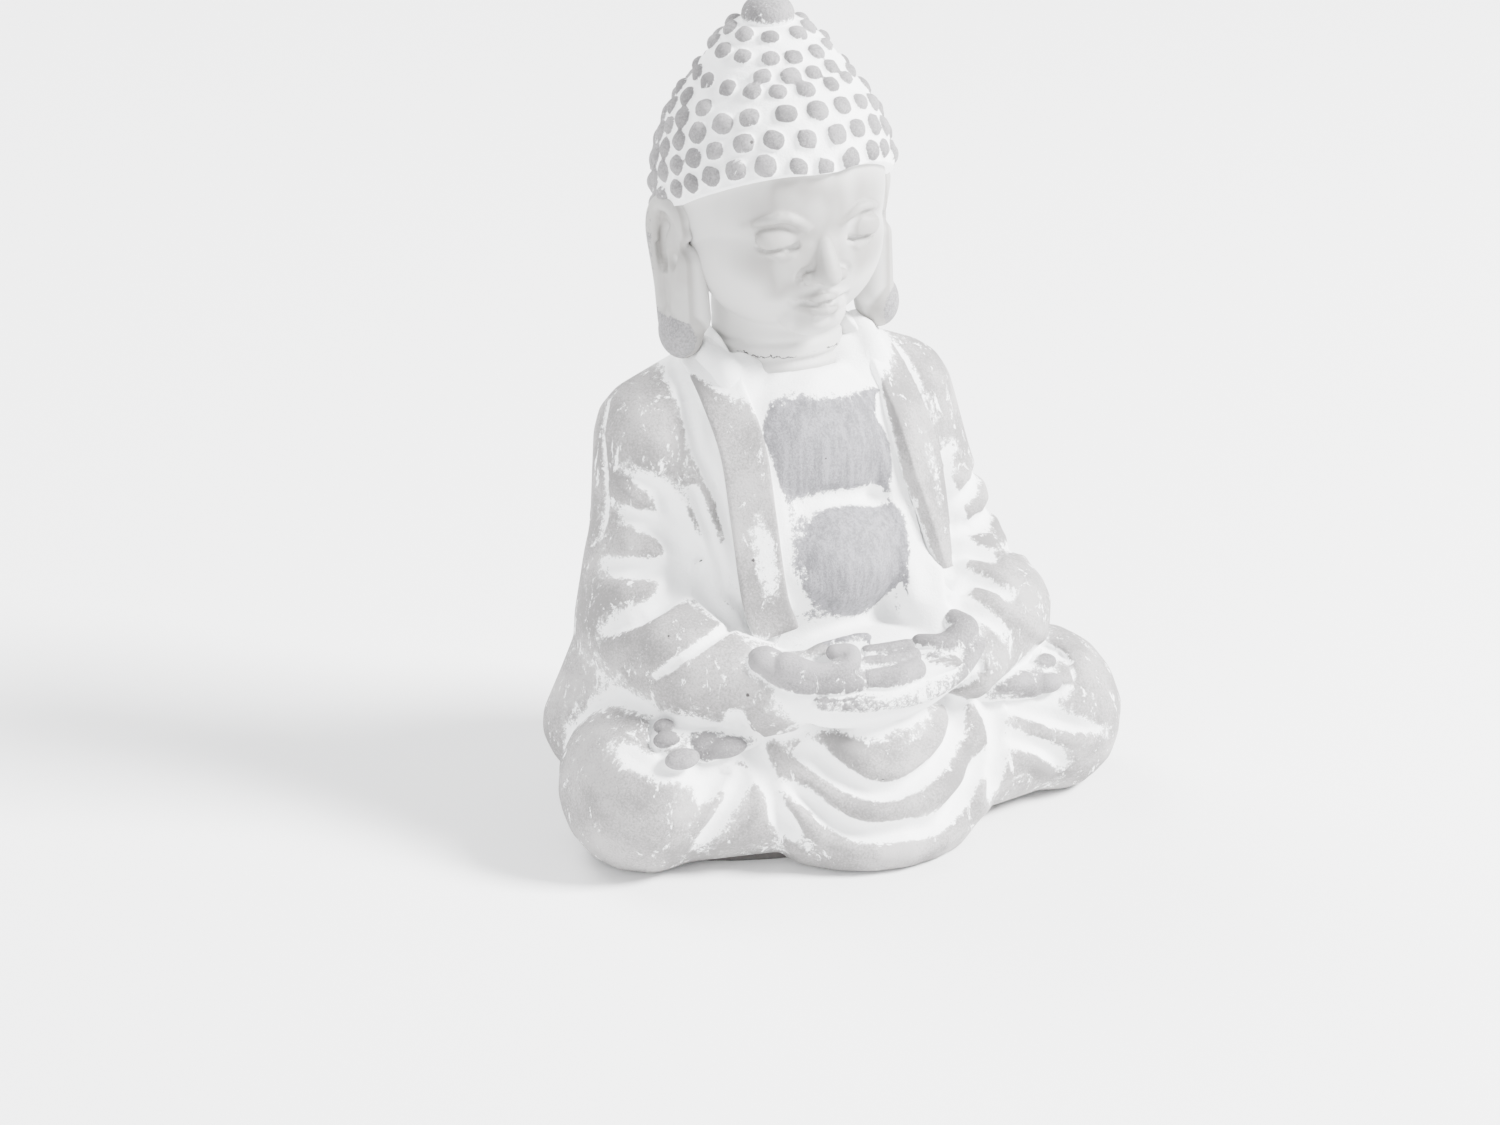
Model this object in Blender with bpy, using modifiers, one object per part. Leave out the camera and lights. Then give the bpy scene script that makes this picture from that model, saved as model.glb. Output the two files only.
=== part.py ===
"""A seated, meditating figure, cast in cement in sections that meet at hairline joints.

The figure faces -Y, +Z is up, and X runs across its knees. The origin is the middle of the
underside of its base pad, which is what it stands on. Each section starts as balls of clay that
overlap, is fused and smoothed into one skin, and is then cut back from every section that is
named before it, so that two neighbours meet with JOINT_GAP between them.
"""

import math

import bmesh
import bpy
from mathutils import Matrix, Vector

MM = 0.001

# The lap: the crossed legs, the feet on them, and the cloth that hangs between the knees.
LAP_WIDTH = 85 * MM
LAP_CENTRE_X = 3 * MM
KNEE_DEPTH = 26 * MM
KNEE_HEIGHT = 22 * MM
KNEE_FORWARD = 5.5 * MM
SHIN_THICKNESS = 15 * MM
FOOT_LENGTH = 19 * MM
FOOT_WIDTH = 9 * MM
TOE_SIZE = 4.2 * MM
APRON_WIDTH = 31 * MM
APRON_FORWARD = 27 * MM
APRON_HEIGHT = 21 * MM

# The body and its robe.
SEAT_WIDTH = 64 * MM
SEAT_BACK = 27 * MM
TORSO_BACK = 24.5 * MM
TORSO_Y = 10 * MM
WAIST_WIDTH = 44 * MM
SHOULDER_HEIGHT = 59 * MM
SHOULDER_WIDTH = 56 * MM
SLEEVE_THICKNESS = 19 * MM
SLEEVE_SPREAD = 66 * MM
WRIST_THICKNESS = 10 * MM
CHEST_WIDTH = 28 * MM
CHEST_FRONT = 6.5 * MM
BELLY_FRONT = 12.5 * MM
LAPEL_WIDTH = 6 * MM
LAPEL_THICKNESS = 4.6 * MM

# The hands, laid one on the other in the lap.
HAND_HEIGHT = 24 * MM
HAND_LENGTH = 23 * MM
HAND_FORWARD = 18 * MM
HAND_LIFT = 3.4 * MM
FINGER_THICKNESS = 3.6 * MM
THUMB_THICKNESS = 3.6 * MM

# The head.
NECK_DIAMETER = 18 * MM
NECK_LENGTH = 13 * MM
HEAD_WIDTH = 30 * MM
HEAD_DEPTH = 33 * MM
HEAD_HEIGHT = 38 * MM
NOSE_LENGTH = 6.5 * MM
EAR_LENGTH = 20 * MM
EAR_THICKNESS = 4 * MM
LOBE_SIZE = 6.6 * MM
HAIR_THICKNESS = 1.3 * MM
HAIRLINE_DROP = 0.55
HAIRLINE_HEIGHT = 26.5 * MM
CROWN_HEIGHT = 7.4 * MM
CROWN_SINK = 6 * MM
CROWN_LEAN = 0.26
FINIAL_WIDTH = 7.6 * MM
FINIAL_HEIGHT = 3.5 * MM
CURL_SIZE = 3.3 * MM
CURL_PITCH = 4.2 * MM
CURL_RELIEF = 0.75 * MM

# Joints, the dowel in the neck and the pad under the base.
JOINT_GAP = 0.4 * MM
DOWEL_DIAMETER = 5 * MM
DOWEL_LENGTH = 26 * MM
PAD_WIDTH = 60 * MM
PAD_DEPTH = 34 * MM
PAD_THICKNESS = 1.5 * MM
PAD_PROUD = 0.4 * MM

# How finely a section is fused and how far it is smoothed.
FUSE = 0.9 * MM
SMOOTH_STEPS = 6

# Heights and places that follow from the sizes above.
NECK_Z = SHOULDER_HEIGHT + 4 * MM
CHIN_Z = NECK_Z + 0.62 * NECK_LENGTH
HEAD_Z = CHIN_Z + HEAD_HEIGHT / 2
HEAD_Y = TORSO_Y + 1.5 * MM
HAIRLINE_Z = CHIN_Z + HAIRLINE_HEIGHT
HAIRLINE_Y = HEAD_Y - HEAD_DEPTH / 2
HAIR_TOP_Z = HEAD_Z + HEAD_HEIGHT / 2 + HAIR_THICKNESS
CROWN_Z = HAIR_TOP_Z - CROWN_SINK
CROWN_WIDTH = 0.7 * HEAD_WIDTH
KNEE_X = LAP_WIDTH / 2 - KNEE_DEPTH / 2.4
ELBOW_Z = 0.5 * SHOULDER_HEIGHT

CEMENT = (0.72, 0.71, 0.70)
WASHED_CEMENT = (0.80, 0.80, 0.79)
BARE_CEMENT = (0.62, 0.61, 0.61)
STEEL = (0.55, 0.55, 0.56)
FELT = (0.16, 0.15, 0.15)


# ---- Scene and materials


def clear_scene():
    for obj in list(bpy.data.objects):
        bpy.data.objects.remove(obj, do_unlink=True)


def material(name, colour, roughness=0.9, metallic=0.0):
    """A Principled material, made once for each name."""
    made = bpy.data.materials.get(name)
    if made is None:
        made = bpy.data.materials.new(name)
        made.use_nodes = True
        shader = made.node_tree.nodes["Principled BSDF"]
        shader.inputs["Base Color"].default_value = (*colour, 1.0)
        shader.inputs["Roughness"].default_value = roughness
        shader.inputs["Metallic"].default_value = metallic
    return made


def collection(name):
    made = bpy.data.collections.new(name)
    bpy.context.scene.collection.children.link(made)
    return made


def new_object(name, mesh, group):
    made = bpy.data.objects.new(name, mesh)
    group.objects.link(made)
    return made


def evaluated_mesh(obj):
    """The object's mesh with its modifiers applied."""
    graph = bpy.context.evaluated_depsgraph_get()
    return bpy.data.meshes.new_from_object(obj.evaluated_get(graph))


# ---- Balls and limbs of clay


def ball(clay, centre, radii):
    """Adds an ellipsoid to the clay, which is a list of places for a ball of radius 1."""
    clay.append(Matrix.Translation(Vector(centre)) @ Matrix.Diagonal((*radii, 1)))


def limb(clay, points, radii, flat=(1, 1, 1)):
    """Balls set closely along points, with a radius at each. flat is their size along X, Y and Z
    against that radius."""
    for (a, ra), (b, rb) in zip(zip(points, radii), zip(points[1:], radii[1:])):
        start, end = Vector(a), Vector(b)
        steps = max(2, math.ceil((end - start).length / (0.4 * min(ra, rb))))
        for step in range(steps + 1):
            t = step / steps
            radius = ra + (rb - ra) * t
            ball(clay, start.lerp(end, t), [radius * size for size in flat])


def mirrored(point, side):
    """point as it is on the +X side of the figure, or its reflection for side -1."""
    return Vector((side * point[0], point[1], point[2]))


def placed(x, y, z, side, lean=1.0):
    """A point of the body on one side, carried towards the middle of the lap by its share."""
    return mirrored((x, y, z), side) + Vector((lean * LAP_CENTRE_X, 0, 0))


# ---- From clay to a section


def ball_mesh():
    """The ball of radius 1 that all clay is made of."""
    bm = bmesh.new()
    bmesh.ops.create_uvsphere(bm, u_segments=18, v_segments=12, radius=1)
    mesh = bpy.data.meshes.new("ball")
    bm.to_mesh(mesh)
    bm.free()
    return mesh


def clay_mesh(name, clay):
    """All the balls of the clay in one mesh, overlapping."""
    bm = bmesh.new()
    unit = ball_mesh()
    for place in clay:
        one = unit.copy()
        one.transform(place)
        bm.from_mesh(one)
        bpy.data.meshes.remove(one)
    mesh = bpy.data.meshes.new(name)
    bm.to_mesh(mesh)
    bm.free()
    bpy.data.meshes.remove(unit)
    return mesh


def fused(name, clay, faces, group, voxel=FUSE, floor=None):
    """The clay as one smooth closed mesh of about that many triangles, cut flat at floor."""
    lump = new_object(name, clay_mesh(name, clay), group)
    skin = lump.modifiers.new("skin", "REMESH")
    skin.mode = "VOXEL"
    skin.voxel_size = voxel
    soften = lump.modifiers.new("soften", "SMOOTH")
    soften.iterations = SMOOTH_STEPS
    soften.factor = 0.5
    thick = evaluated_mesh(lump)
    lump.modifiers.clear()
    lump.data = thick
    lighten = lump.modifiers.new("lighten", "DECIMATE")
    lighten.ratio = min(1.0, faces / (2 * len(thick.polygons)))
    light = evaluated_mesh(lump)
    bpy.data.objects.remove(lump)
    if floor is not None:
        cut_flat(light, (0, 0, floor), (0, 0, 1))
    return light


def cut_flat(mesh, point, normal):
    """Removes what lies behind the plane and closes the cut with one face."""
    bm = bmesh.new()
    bm.from_mesh(mesh)
    everything = bm.verts[:] + bm.edges[:] + bm.faces[:]
    bmesh.ops.bisect_plane(
        bm, geom=everything, plane_co=point, plane_no=normal, clear_inner=True, dist=1e-6
    )
    rim = [edge for edge in bm.edges if edge.is_boundary]
    bmesh.ops.holes_fill(bm, edges=rim)
    bmesh.ops.triangulate(bm, faces=bm.faces[:])
    bmesh.ops.recalc_face_normals(bm, faces=bm.faces[:])
    bm.to_mesh(mesh)
    bm.free()


def grown(mesh, by, group):
    """A cutter: the mesh with its skin moved out by a distance."""
    cutter = new_object(mesh.name + "_cutter", mesh.copy(), group)
    cutter.hide_render = True
    cutter.display_type = "WIRE"
    swell = cutter.modifiers.new("swell", "DISPLACE")
    swell.mid_level = 0
    swell.strength = by
    return cutter


def keep_largest(mesh):
    """Drops the crumbs that a cut leaves beside the main body."""
    bm = bmesh.new()
    bm.from_mesh(mesh)
    islands = []
    left = set(bm.faces)
    while left:
        island, edge_of = set(), [left.pop()]
        while edge_of:
            face = edge_of.pop()
            island.add(face)
            for edge in face.edges:
                for near in edge.link_faces:
                    if near in left:
                        left.discard(near)
                        edge_of.append(near)
        islands.append(island)
    islands.sort(key=lambda faces: sum(face.calc_area() for face in faces))
    for island in islands[:-1]:
        bmesh.ops.delete(bm, geom=list(island), context="FACES")
    bm.to_mesh(mesh)
    bm.free()


def boxes_meet(a, b):
    """True if the bounding boxes of two meshes come within the joint gap of each other."""
    for axis in range(3):
        low_a, high_a = min(v.co[axis] for v in a.vertices), max(v.co[axis] for v in a.vertices)
        low_b, high_b = min(v.co[axis] for v in b.vertices), max(v.co[axis] for v in b.vertices)
        if low_a - JOINT_GAP > high_b or low_b - JOINT_GAP > high_a:
            return False
    return True


class Figure:
    """The sections made so far. Each new one is cut back from those before it."""

    def __init__(self):
        self.sections = collection("seated_figure")
        self.cutters = collection("cutters")
        self.cutters.hide_render = True
        self.forms = []

    def add(self, name, mesh, colour, roughness=0.9, metallic=0.0, form=None):
        """Makes the section name from its full form. Later sections are cut back from the form
        given, or from the mesh itself."""
        mesh.name = name
        section = new_object(name, mesh.copy(), self.sections)
        for earlier, cutter in self.forms:
            if boxes_meet(mesh, earlier):
                cut = section.modifiers.new(earlier.name, "BOOLEAN")
                cut.operation = "DIFFERENCE"
                cut.solver = "EXACT"
                cut.object = cutter
        section.data = evaluated_mesh(section)
        section.modifiers.clear()
        keep_largest(section.data)
        section.data.shade_smooth()
        section.data.set_sharp_from_angle(angle=math.radians(50))
        section.data.materials.clear()
        section.data.materials.append(material(name, colour, roughness, metallic))
        form = form or mesh
        form.name = name + "_form"
        self.forms.append((form, grown(form, JOINT_GAP, self.cutters)))


# ---- Hidden pieces


def cylinder(radius, low, high, at=(0, 0), stretch=1.0, segments=24):
    bm = bmesh.new()
    place = Matrix.Translation((*at, (low + high) / 2)) @ Matrix.Diagonal((1, stretch, 1, 1))
    bmesh.ops.create_cone(
        bm, cap_ends=True, segments=segments, radius1=radius, radius2=radius,
        depth=high - low, matrix=place,
    )
    mesh = bpy.data.meshes.new("cylinder")
    bm.to_mesh(mesh)
    bm.free()
    return mesh


def base_pad():
    """The felt pad let into the underside, standing a little proud of it."""
    return cylinder(PAD_WIDTH / 2, 0, PAD_THICKNESS, stretch=PAD_DEPTH / PAD_WIDTH, segments=40)


def neck_dowel():
    """The pin that locates the head section on the body."""
    middle = NECK_Z + 1 * MM
    return cylinder(
        DOWEL_DIAMETER / 2, middle - DOWEL_LENGTH / 2, middle + DOWEL_LENGTH / 2, at=(0, HEAD_Y)
    )


# ---- The lap


def knee(side):
    return placed(KNEE_X, -KNEE_FORWARD, 0.46 * KNEE_HEIGHT, side)


def leg(side, group):
    """A folded leg under the robe: thigh, knee, and shin coming back to the middle."""
    clay = []
    at_knee = knee(side)
    thick = 0.5 * KNEE_HEIGHT
    hip = placed(SEAT_WIDTH / 2 - 14 * MM, TORSO_Y + 1 * MM, 0.4 * KNEE_HEIGHT, side)
    ankle_y = -APRON_FORWARD + 13 * MM
    ankle = placed(APRON_WIDTH / 2 - 4 * MM, ankle_y, 0.38 * KNEE_HEIGHT, side)
    limb(clay, [hip, at_knee], [thick, thick])
    limb(clay, [at_knee, ankle], [thick, SHIN_THICKNESS / 2])
    ball(clay, at_knee, (KNEE_DEPTH / 2.4, KNEE_DEPTH / 2, 0.54 * KNEE_HEIGHT))
    return fused("leg", clay, 420, group, floor=PAD_PROUD)


def foot(side, group):
    """A foot lying sole up on the thigh, with its toes pointing out."""
    clay = []
    centre = placed(0.29 * LAP_WIDTH, -KNEE_FORWARD - 5 * MM, KNEE_HEIGHT - 3.6 * MM, side)
    heel = centre - Vector((side * FOOT_LENGTH / 2.6, 1 * MM, -1 * MM))
    ball_of_foot = centre + Vector((side * FOOT_LENGTH / 6, 0, 0))
    limb(clay, [heel, ball_of_foot], [0.42 * FOOT_WIDTH, 0.5 * FOOT_WIDTH], flat=(1, 1, 0.75))
    toes = 5
    for index in range(toes):
        share = index / (toes - 1)
        across = FOOT_WIDTH * (0.5 - share)
        out = FOOT_LENGTH * (0.37 - 0.10 * share)
        size = TOE_SIZE * (0.62 - 0.16 * share)
        toe = centre + Vector((side * out, across, 0.2 * MM))
        ball(clay, toe, (1.35 * size, size, size))
    return fused("foot", clay, 300, group, voxel=0.7 * MM)


def apron(group):
    """The cloth that hangs from the lap between the knees and spreads on the ground."""
    clay = []
    deep = 13 * MM
    y = -APRON_FORWARD + deep
    half = APRON_WIDTH / 2
    for width, depth, height in ((0.84, -2.5 * MM, 0.62), (0.97, -1 * MM, 0.42), (1, 0, 0.16)):
        radii = (width * half, deep + depth, 0.42 * APRON_HEIGHT)
        ball(clay, (LAP_CENTRE_X, y, height * APRON_HEIGHT), radii)
    for side in (-1, 1):
        top = placed(0.92 * half, y + 4 * MM, APRON_HEIGHT, side)
        low = placed(0.78 * half, y - 4 * MM, 0.3 * APRON_HEIGHT, side)
        limb(clay, [top, low], [3 * MM, 5 * MM])
    return fused("apron", clay, 520, group, floor=PAD_PROUD)


# ---- The hands


def hand(side, lift, group):
    """A hand lying palm up across the lap. lift raises the upper one onto the lower."""
    clay = []
    z = HAND_HEIGHT + lift
    wrist = placed(HAND_LENGTH / 2 + 2 * MM, -HAND_FORWARD + 3 * MM, z + 1 * MM, side)
    palm = placed(HAND_LENGTH / 5, -HAND_FORWARD, z, side)
    knuckles = placed(-HAND_LENGTH / 12, -HAND_FORWARD - 0.5 * MM, z, side)
    limb(clay, [wrist, palm, knuckles], [4.2 * MM, 4.8 * MM, 4 * MM], flat=(1, 1.15, 0.72))
    fingers = 4
    for index in range(fingers):
        y = -HAND_FORWARD + (index - 1.5) * 0.72 * FINGER_THICKNESS
        reach = HAND_LENGTH * (0.46 - 0.035 * abs(index - 1.3))
        root = placed(HAND_LENGTH / 12, y, z, side)
        tip = placed(-reach, y - 0.4 * MM, z + 0.6 * MM, side)
        limb(clay, [root, tip], [0.5 * FINGER_THICKNESS, 0.42 * FINGER_THICKNESS])
    thumb_root = placed(HAND_LENGTH / 2.6, -HAND_FORWARD + 2 * MM, z + 3 * MM, side)
    thumb_top = placed(HAND_LENGTH / 6, -HAND_FORWARD + 1 * MM, HAND_HEIGHT + 8 * MM, side)
    thumb_tip = placed(1.9 * MM, -HAND_FORWARD + 0.5 * MM, HAND_HEIGHT + 8.5 * MM, side)
    thick = THUMB_THICKNESS / 2
    limb(clay, [thumb_root, thumb_top, thumb_tip], [1.3 * thick, thick, 0.75 * thick])
    return fused("hand", clay, 480, group, voxel=0.6 * MM)


# ---- The body and its robe


def sleeve(side, group):
    """A wide sleeve with the arm in it: the shoulder and the front of the robe as far as the
    lapel, the forearm that comes to the wrist, and the cloth that falls onto the thigh."""
    clay = []
    thick = SLEEVE_THICKNESS / 2
    edge = SHOULDER_WIDTH / 2
    back_y = TORSO_Y + 1 * MM
    front_y = TORSO_Y - 5 * MM
    shoulder = placed(edge - thick, back_y, SHOULDER_HEIGHT - 4 * MM, side, 0)
    collar = placed(NECK_DIAMETER / 2 + 2 * MM, back_y, SHOULDER_HEIGHT - 0.5 * MM, side, 0)
    upper = placed(edge - 0.8 * thick, back_y - 1 * MM, 0.74 * SHOULDER_HEIGHT, side, 0.3)
    elbow = placed(edge - 0.47 * thick, front_y + 1 * MM, ELBOW_Z, side, 0.2)
    fore = placed(0.42 * SHOULDER_WIDTH, -HAND_FORWARD + 12 * MM, HAND_HEIGHT + 3 * MM, side)
    cuff = placed(HAND_LENGTH / 2 + 3 * MM, -HAND_FORWARD + 4 * MM, HAND_HEIGHT + 1 * MM, side)
    limb(clay, [collar, shoulder, upper, elbow], [0.86 * thick, 0.9 * thick, 0.9 * thick, thick])
    limb(clay, [elbow, fore, cuff], [thick, 0.84 * thick, WRIST_THICKNESS / 2 + 1 * MM])
    spread = SLEEVE_SPREAD / 2
    hem_back = placed(spread - 5 * MM, TORSO_Y - 1 * MM, 14 * MM, side, -0.3)
    hem_side = placed(spread - 6 * MM, front_y - 1 * MM, 18 * MM, side, 0.3)
    limb(clay, [elbow, hem_back], [0.85 * thick, 0.78 * thick])
    limb(clay, [elbow, hem_side], [thick, 0.5 * thick])
    limb(clay, [hem_back, hem_side, fore], [0.7 * thick, 0.5 * thick, 0.66 * thick])
    panel_x = NECK_DIAMETER / 2 + LAPEL_WIDTH
    panel_top = placed(panel_x, TORSO_Y, SHOULDER_HEIGHT, side, 0)
    panel_middle = placed(panel_x, front_y - 1 * MM, 0.7 * SHOULDER_HEIGHT, side, 0.4)
    panel_low = placed(panel_x + 2 * MM, front_y - 3 * MM, 0.54 * SHOULDER_HEIGHT, side, 0.8)
    limb(clay, [panel_top, panel_middle, panel_low], [0.62 * thick, 0.62 * thick, 0.66 * thick])
    limb(clay, [panel_middle, upper], [0.62 * thick, 0.8 * thick])
    limb(clay, [panel_low, fore], [0.66 * thick, 0.8 * thick])
    limb(clay, [panel_low, elbow], [0.66 * thick, 0.9 * thick])
    return fused("sleeve", clay, 560, group)


def lapel_points(side):
    """The line of a lapel from beside the neck, over the chest and down into the lap."""
    neck = NECK_DIAMETER / 2
    over_chest = CHEST_FRONT + 1.6 * MM
    over_belly = BELLY_FRONT + 0.6 * MM
    fronts = ((0, 1 * MM), (0.3, CHEST_FRONT - 2 * MM), (0.62, over_chest), (1, over_belly))
    top = NECK_Z + 3 * MM
    low = HAND_HEIGHT + 8 * MM
    points = []
    for share, front in fronts:
        x = neck + 2 * MM + 2.2 * MM * share**1.5
        y = TORSO_Y - 9 * MM - (front - 3 * MM)
        points.append(placed(x, y, top + (low - top) * share, side, share))
    return points


def lapel(side, group):
    """The folded front edge of the robe."""
    clay = []
    half = LAPEL_WIDTH / 2
    points = lapel_points(side)
    limb(clay, points, [half] * len(points), flat=(1, LAPEL_THICKNESS / LAPEL_WIDTH, 1))
    over = [points[0] + Vector((side * 1 * MM, 7 * MM, 1.2 * MM)), points[0]]
    limb(clay, over, [half, half])
    return fused("lapel", clay, 260, group, voxel=0.7 * MM)


def chest(group):
    """The bare chest and belly between the lapels."""
    clay = []
    half = CHEST_WIDTH / 2
    y = TORSO_Y - 8 * MM
    chest_z = 0.9 * SHOULDER_HEIGHT
    belly_z = 0.66 * SHOULDER_HEIGHT
    ball(clay, (0, y, chest_z), (half, y + CHEST_FRONT, 13 * MM))
    ball(clay, (0, y, belly_z), (1.06 * half, y + BELLY_FRONT, 11 * MM))
    ball(clay, (0, y, 0.44 * SHOULDER_HEIGHT), (1.1 * half, y + BELLY_FRONT - 2 * MM, 12 * MM))
    ball(clay, (0, y, 0.77 * SHOULDER_HEIGHT), (half, y + CHEST_FRONT - 1.5 * MM, 12 * MM))
    return fused("chest", clay, 360, group)


def robe_body(group):
    """The back of the figure: shoulders, back and seat under the robe, and the cloth spread
    under the crossed legs."""
    clay = []
    thick = SLEEVE_THICKNESS / 2
    for side in (-1, 1):
        back_y = TORSO_Y + 1 * MM
        outer = placed(SHOULDER_WIDTH / 2 - thick, back_y, SHOULDER_HEIGHT - 3 * MM, side, 0)
        inner = placed(NECK_DIAMETER / 2, back_y, SHOULDER_HEIGHT + 1 * MM, side, 0)
        collar = placed(0.42 * NECK_DIAMETER, TORSO_Y + 2 * MM, NECK_Z, side, 0)
        limb(clay, [outer, inner, collar], [0.72 * thick, 0.72 * thick, 5 * MM])
    nape = Vector((0, TORSO_Y + 5 * MM, NECK_Z + 1 * MM))
    limb(clay, [nape, nape - Vector((0, 2 * MM, 5 * MM))], [5 * MM, 9 * MM])
    layers = 7
    for index in range(layers):
        share = index / (layers - 1)
        half = SEAT_WIDTH / 2 + (WAIST_WIDTH - SEAT_WIDTH) / 2 * share**0.7
        back = SEAT_BACK + (TORSO_BACK - SEAT_BACK) * share
        y = TORSO_Y - 1 * MM
        z = (0.08 + 0.70 * share) * SHOULDER_HEIGHT
        ball(clay, (0, y, z), (half, back - y, 0.2 * SHOULDER_HEIGHT))
    ball(clay, (0, -HAND_FORWARD + 12 * MM, 0.26 * SHOULDER_HEIGHT), (20 * MM, 14 * MM, 9 * MM))
    ball(clay, (LAP_CENTRE_X, -4 * MM, 3.5 * MM), (0.4 * LAP_WIDTH, 17 * MM, 7 * MM))
    return fused("robe_body", clay, 860, group, floor=PAD_PROUD)


# ---- The head


def head(group):
    """Face, jaw and neck, up to the sloping face that the hair sits on. The face is plain."""
    clay = []
    half, deep, tall = HEAD_WIDTH / 2, HEAD_DEPTH / 2, HEAD_HEIGHT / 2
    front = HEAD_Y - deep
    neck = NECK_DIAMETER / 2
    limb(clay, [(0, HEAD_Y, HEAD_Z - 6 * MM), (0, HEAD_Y - 2 * MM, NECK_Z - 5 * MM)], [neck, neck])
    ball(clay, (0, HEAD_Y, HEAD_Z), (half, deep, tall))
    ball(clay, (0, HEAD_Y - 4 * MM, HEAD_Z - 0.36 * tall), (0.92 * half, 0.74 * deep, 0.66 * tall))
    ball(clay, (0, front + 4.2 * MM, CHIN_Z + 3.4 * MM), (4.6 * MM, 4 * MM, 3.4 * MM))
    for side in (-1, 1):
        cheek = mirrored((0.48 * half, front + 6 * MM, HEAD_Z - 0.38 * tall), side)
        ball(clay, cheek, (5.4 * MM, 5 * MM, 5.4 * MM))
        brow = mirrored((0.36 * half, front + 3.2 * MM, HEAD_Z + 1.2 * MM), side)
        ball(clay, brow, (4.6 * MM, 3 * MM, 2 * MM))
    bridge = (0, front + 1.6 * MM, HEAD_Z)
    tip = (0, front - 0.9 * MM, HEAD_Z - NOSE_LENGTH)
    limb(clay, [bridge, tip], [1.5 * MM, 1.9 * MM])
    mouth_z = HEAD_Z - NOSE_LENGTH - 4.4 * MM
    for z in (mouth_z - 1 * MM, mouth_z + 1 * MM):
        ball(clay, (0, front + 1.6 * MM, z), (3.4 * MM, 1.6 * MM, 1.1 * MM))
    bottom = NECK_Z - 3 * MM
    return fused("head", clay, 860, group, voxel=0.7 * MM, floor=bottom)


def ear(side, group):
    """An ear with the long, heavy lobe of the figure."""
    clay = []
    x = HEAD_WIDTH / 2 + 0.2 * MM
    thick = EAR_THICKNESS / 2
    top_z = HEAD_Z - 3 * MM
    top = mirrored((x, HEAD_Y + 0.5 * MM, top_z), side)
    middle = mirrored((x + 0.6 * MM, HEAD_Y, top_z - 0.55 * EAR_LENGTH), side)
    lobe = mirrored((x + 0.4 * MM, HEAD_Y - 1.5 * MM, top_z - EAR_LENGTH + LOBE_SIZE / 2), side)
    limb(clay, [top, middle, lobe], [1.3 * thick, thick, 1.1 * thick], flat=(0.9, 1.5, 1))
    ball(clay, lobe, (0.42 * LOBE_SIZE, 0.5 * LOBE_SIZE, 0.58 * LOBE_SIZE))
    return fused("ear", clay, 200, group, voxel=0.6 * MM)


def hair_radii():
    return tuple(size / 2 + HAIR_THICKNESS for size in (HEAD_WIDTH, HEAD_DEPTH, HEAD_HEIGHT))


def row_plane(share):
    """Height at the head's axis and slope along Y of a row of curls: 0 is the hairline, which
    drops towards the nape, and 1 is the level foot of the crown."""
    low = HAIRLINE_Z - HAIRLINE_DROP * (HEAD_Y - HAIRLINE_Y)
    slope = -HAIRLINE_DROP * (1 - share) ** 1.3
    return low + (CROWN_Z - low) * share, slope


def on_hair(angle, share):
    """The point of the hair's dome at an angle round the head, on that row's plane."""
    rx, ry, rz = hair_radii()
    height, slope = row_plane(share)
    low, high = -math.pi / 2, math.pi / 2
    for _ in range(40):
        tilt = (low + high) / 2
        point = Vector((
            rx * math.cos(tilt) * math.sin(angle),
            -ry * math.cos(tilt) * math.cos(angle),
            rz * math.sin(tilt),
        ))
        if HEAD_Z + point.z < height + slope * point.y:
            low = tilt
        else:
            high = tilt
    return Vector((0, HEAD_Y, HEAD_Z)) + point


def ring_of(point_at, pitch, turn):
    """Points about pitch apart round a closed line. turn shifts every other row by half a step."""
    samples = [point_at(math.tau * k / 72) for k in range(72)]
    length = sum((a - b).length for a, b in zip(samples, samples[1:] + samples[:1]))
    count = max(3, round(length / pitch))
    return [point_at(math.tau * (k + 0.5 * turn) / count) for k in range(count)]


def curl(bm, point, outward):
    """A button of hair that stands out of the dome."""
    turn = outward.to_track_quat("Z", "Y").to_matrix().to_4x4()
    bmesh.ops.create_cone(
        bm, cap_ends=True, segments=6, radius1=CURL_SIZE / 2, radius2=CURL_SIZE / 3.6,
        depth=2 * CURL_RELIEF, matrix=Matrix.Translation(point + outward * 0.25 * CURL_RELIEF) @ turn,
    )


def studded(name, dome, curls, group):
    """A dome with its curls joined on, and the dome by itself."""
    base = new_object(name + "_dome", dome.copy(), group)
    mesh = bpy.data.meshes.new(name + "_curls")
    curls.to_mesh(mesh)
    curls.free()
    studs = new_object(name + "_curls", mesh, group)
    studs.hide_render = True
    join = base.modifiers.new("join", "BOOLEAN")
    join.operation = "UNION"
    join.solver = "EXACT"
    join.use_self = True
    join.object = studs
    made = evaluated_mesh(base)
    bpy.data.objects.remove(base)
    bpy.data.objects.remove(studs)
    return made, dome


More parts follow.
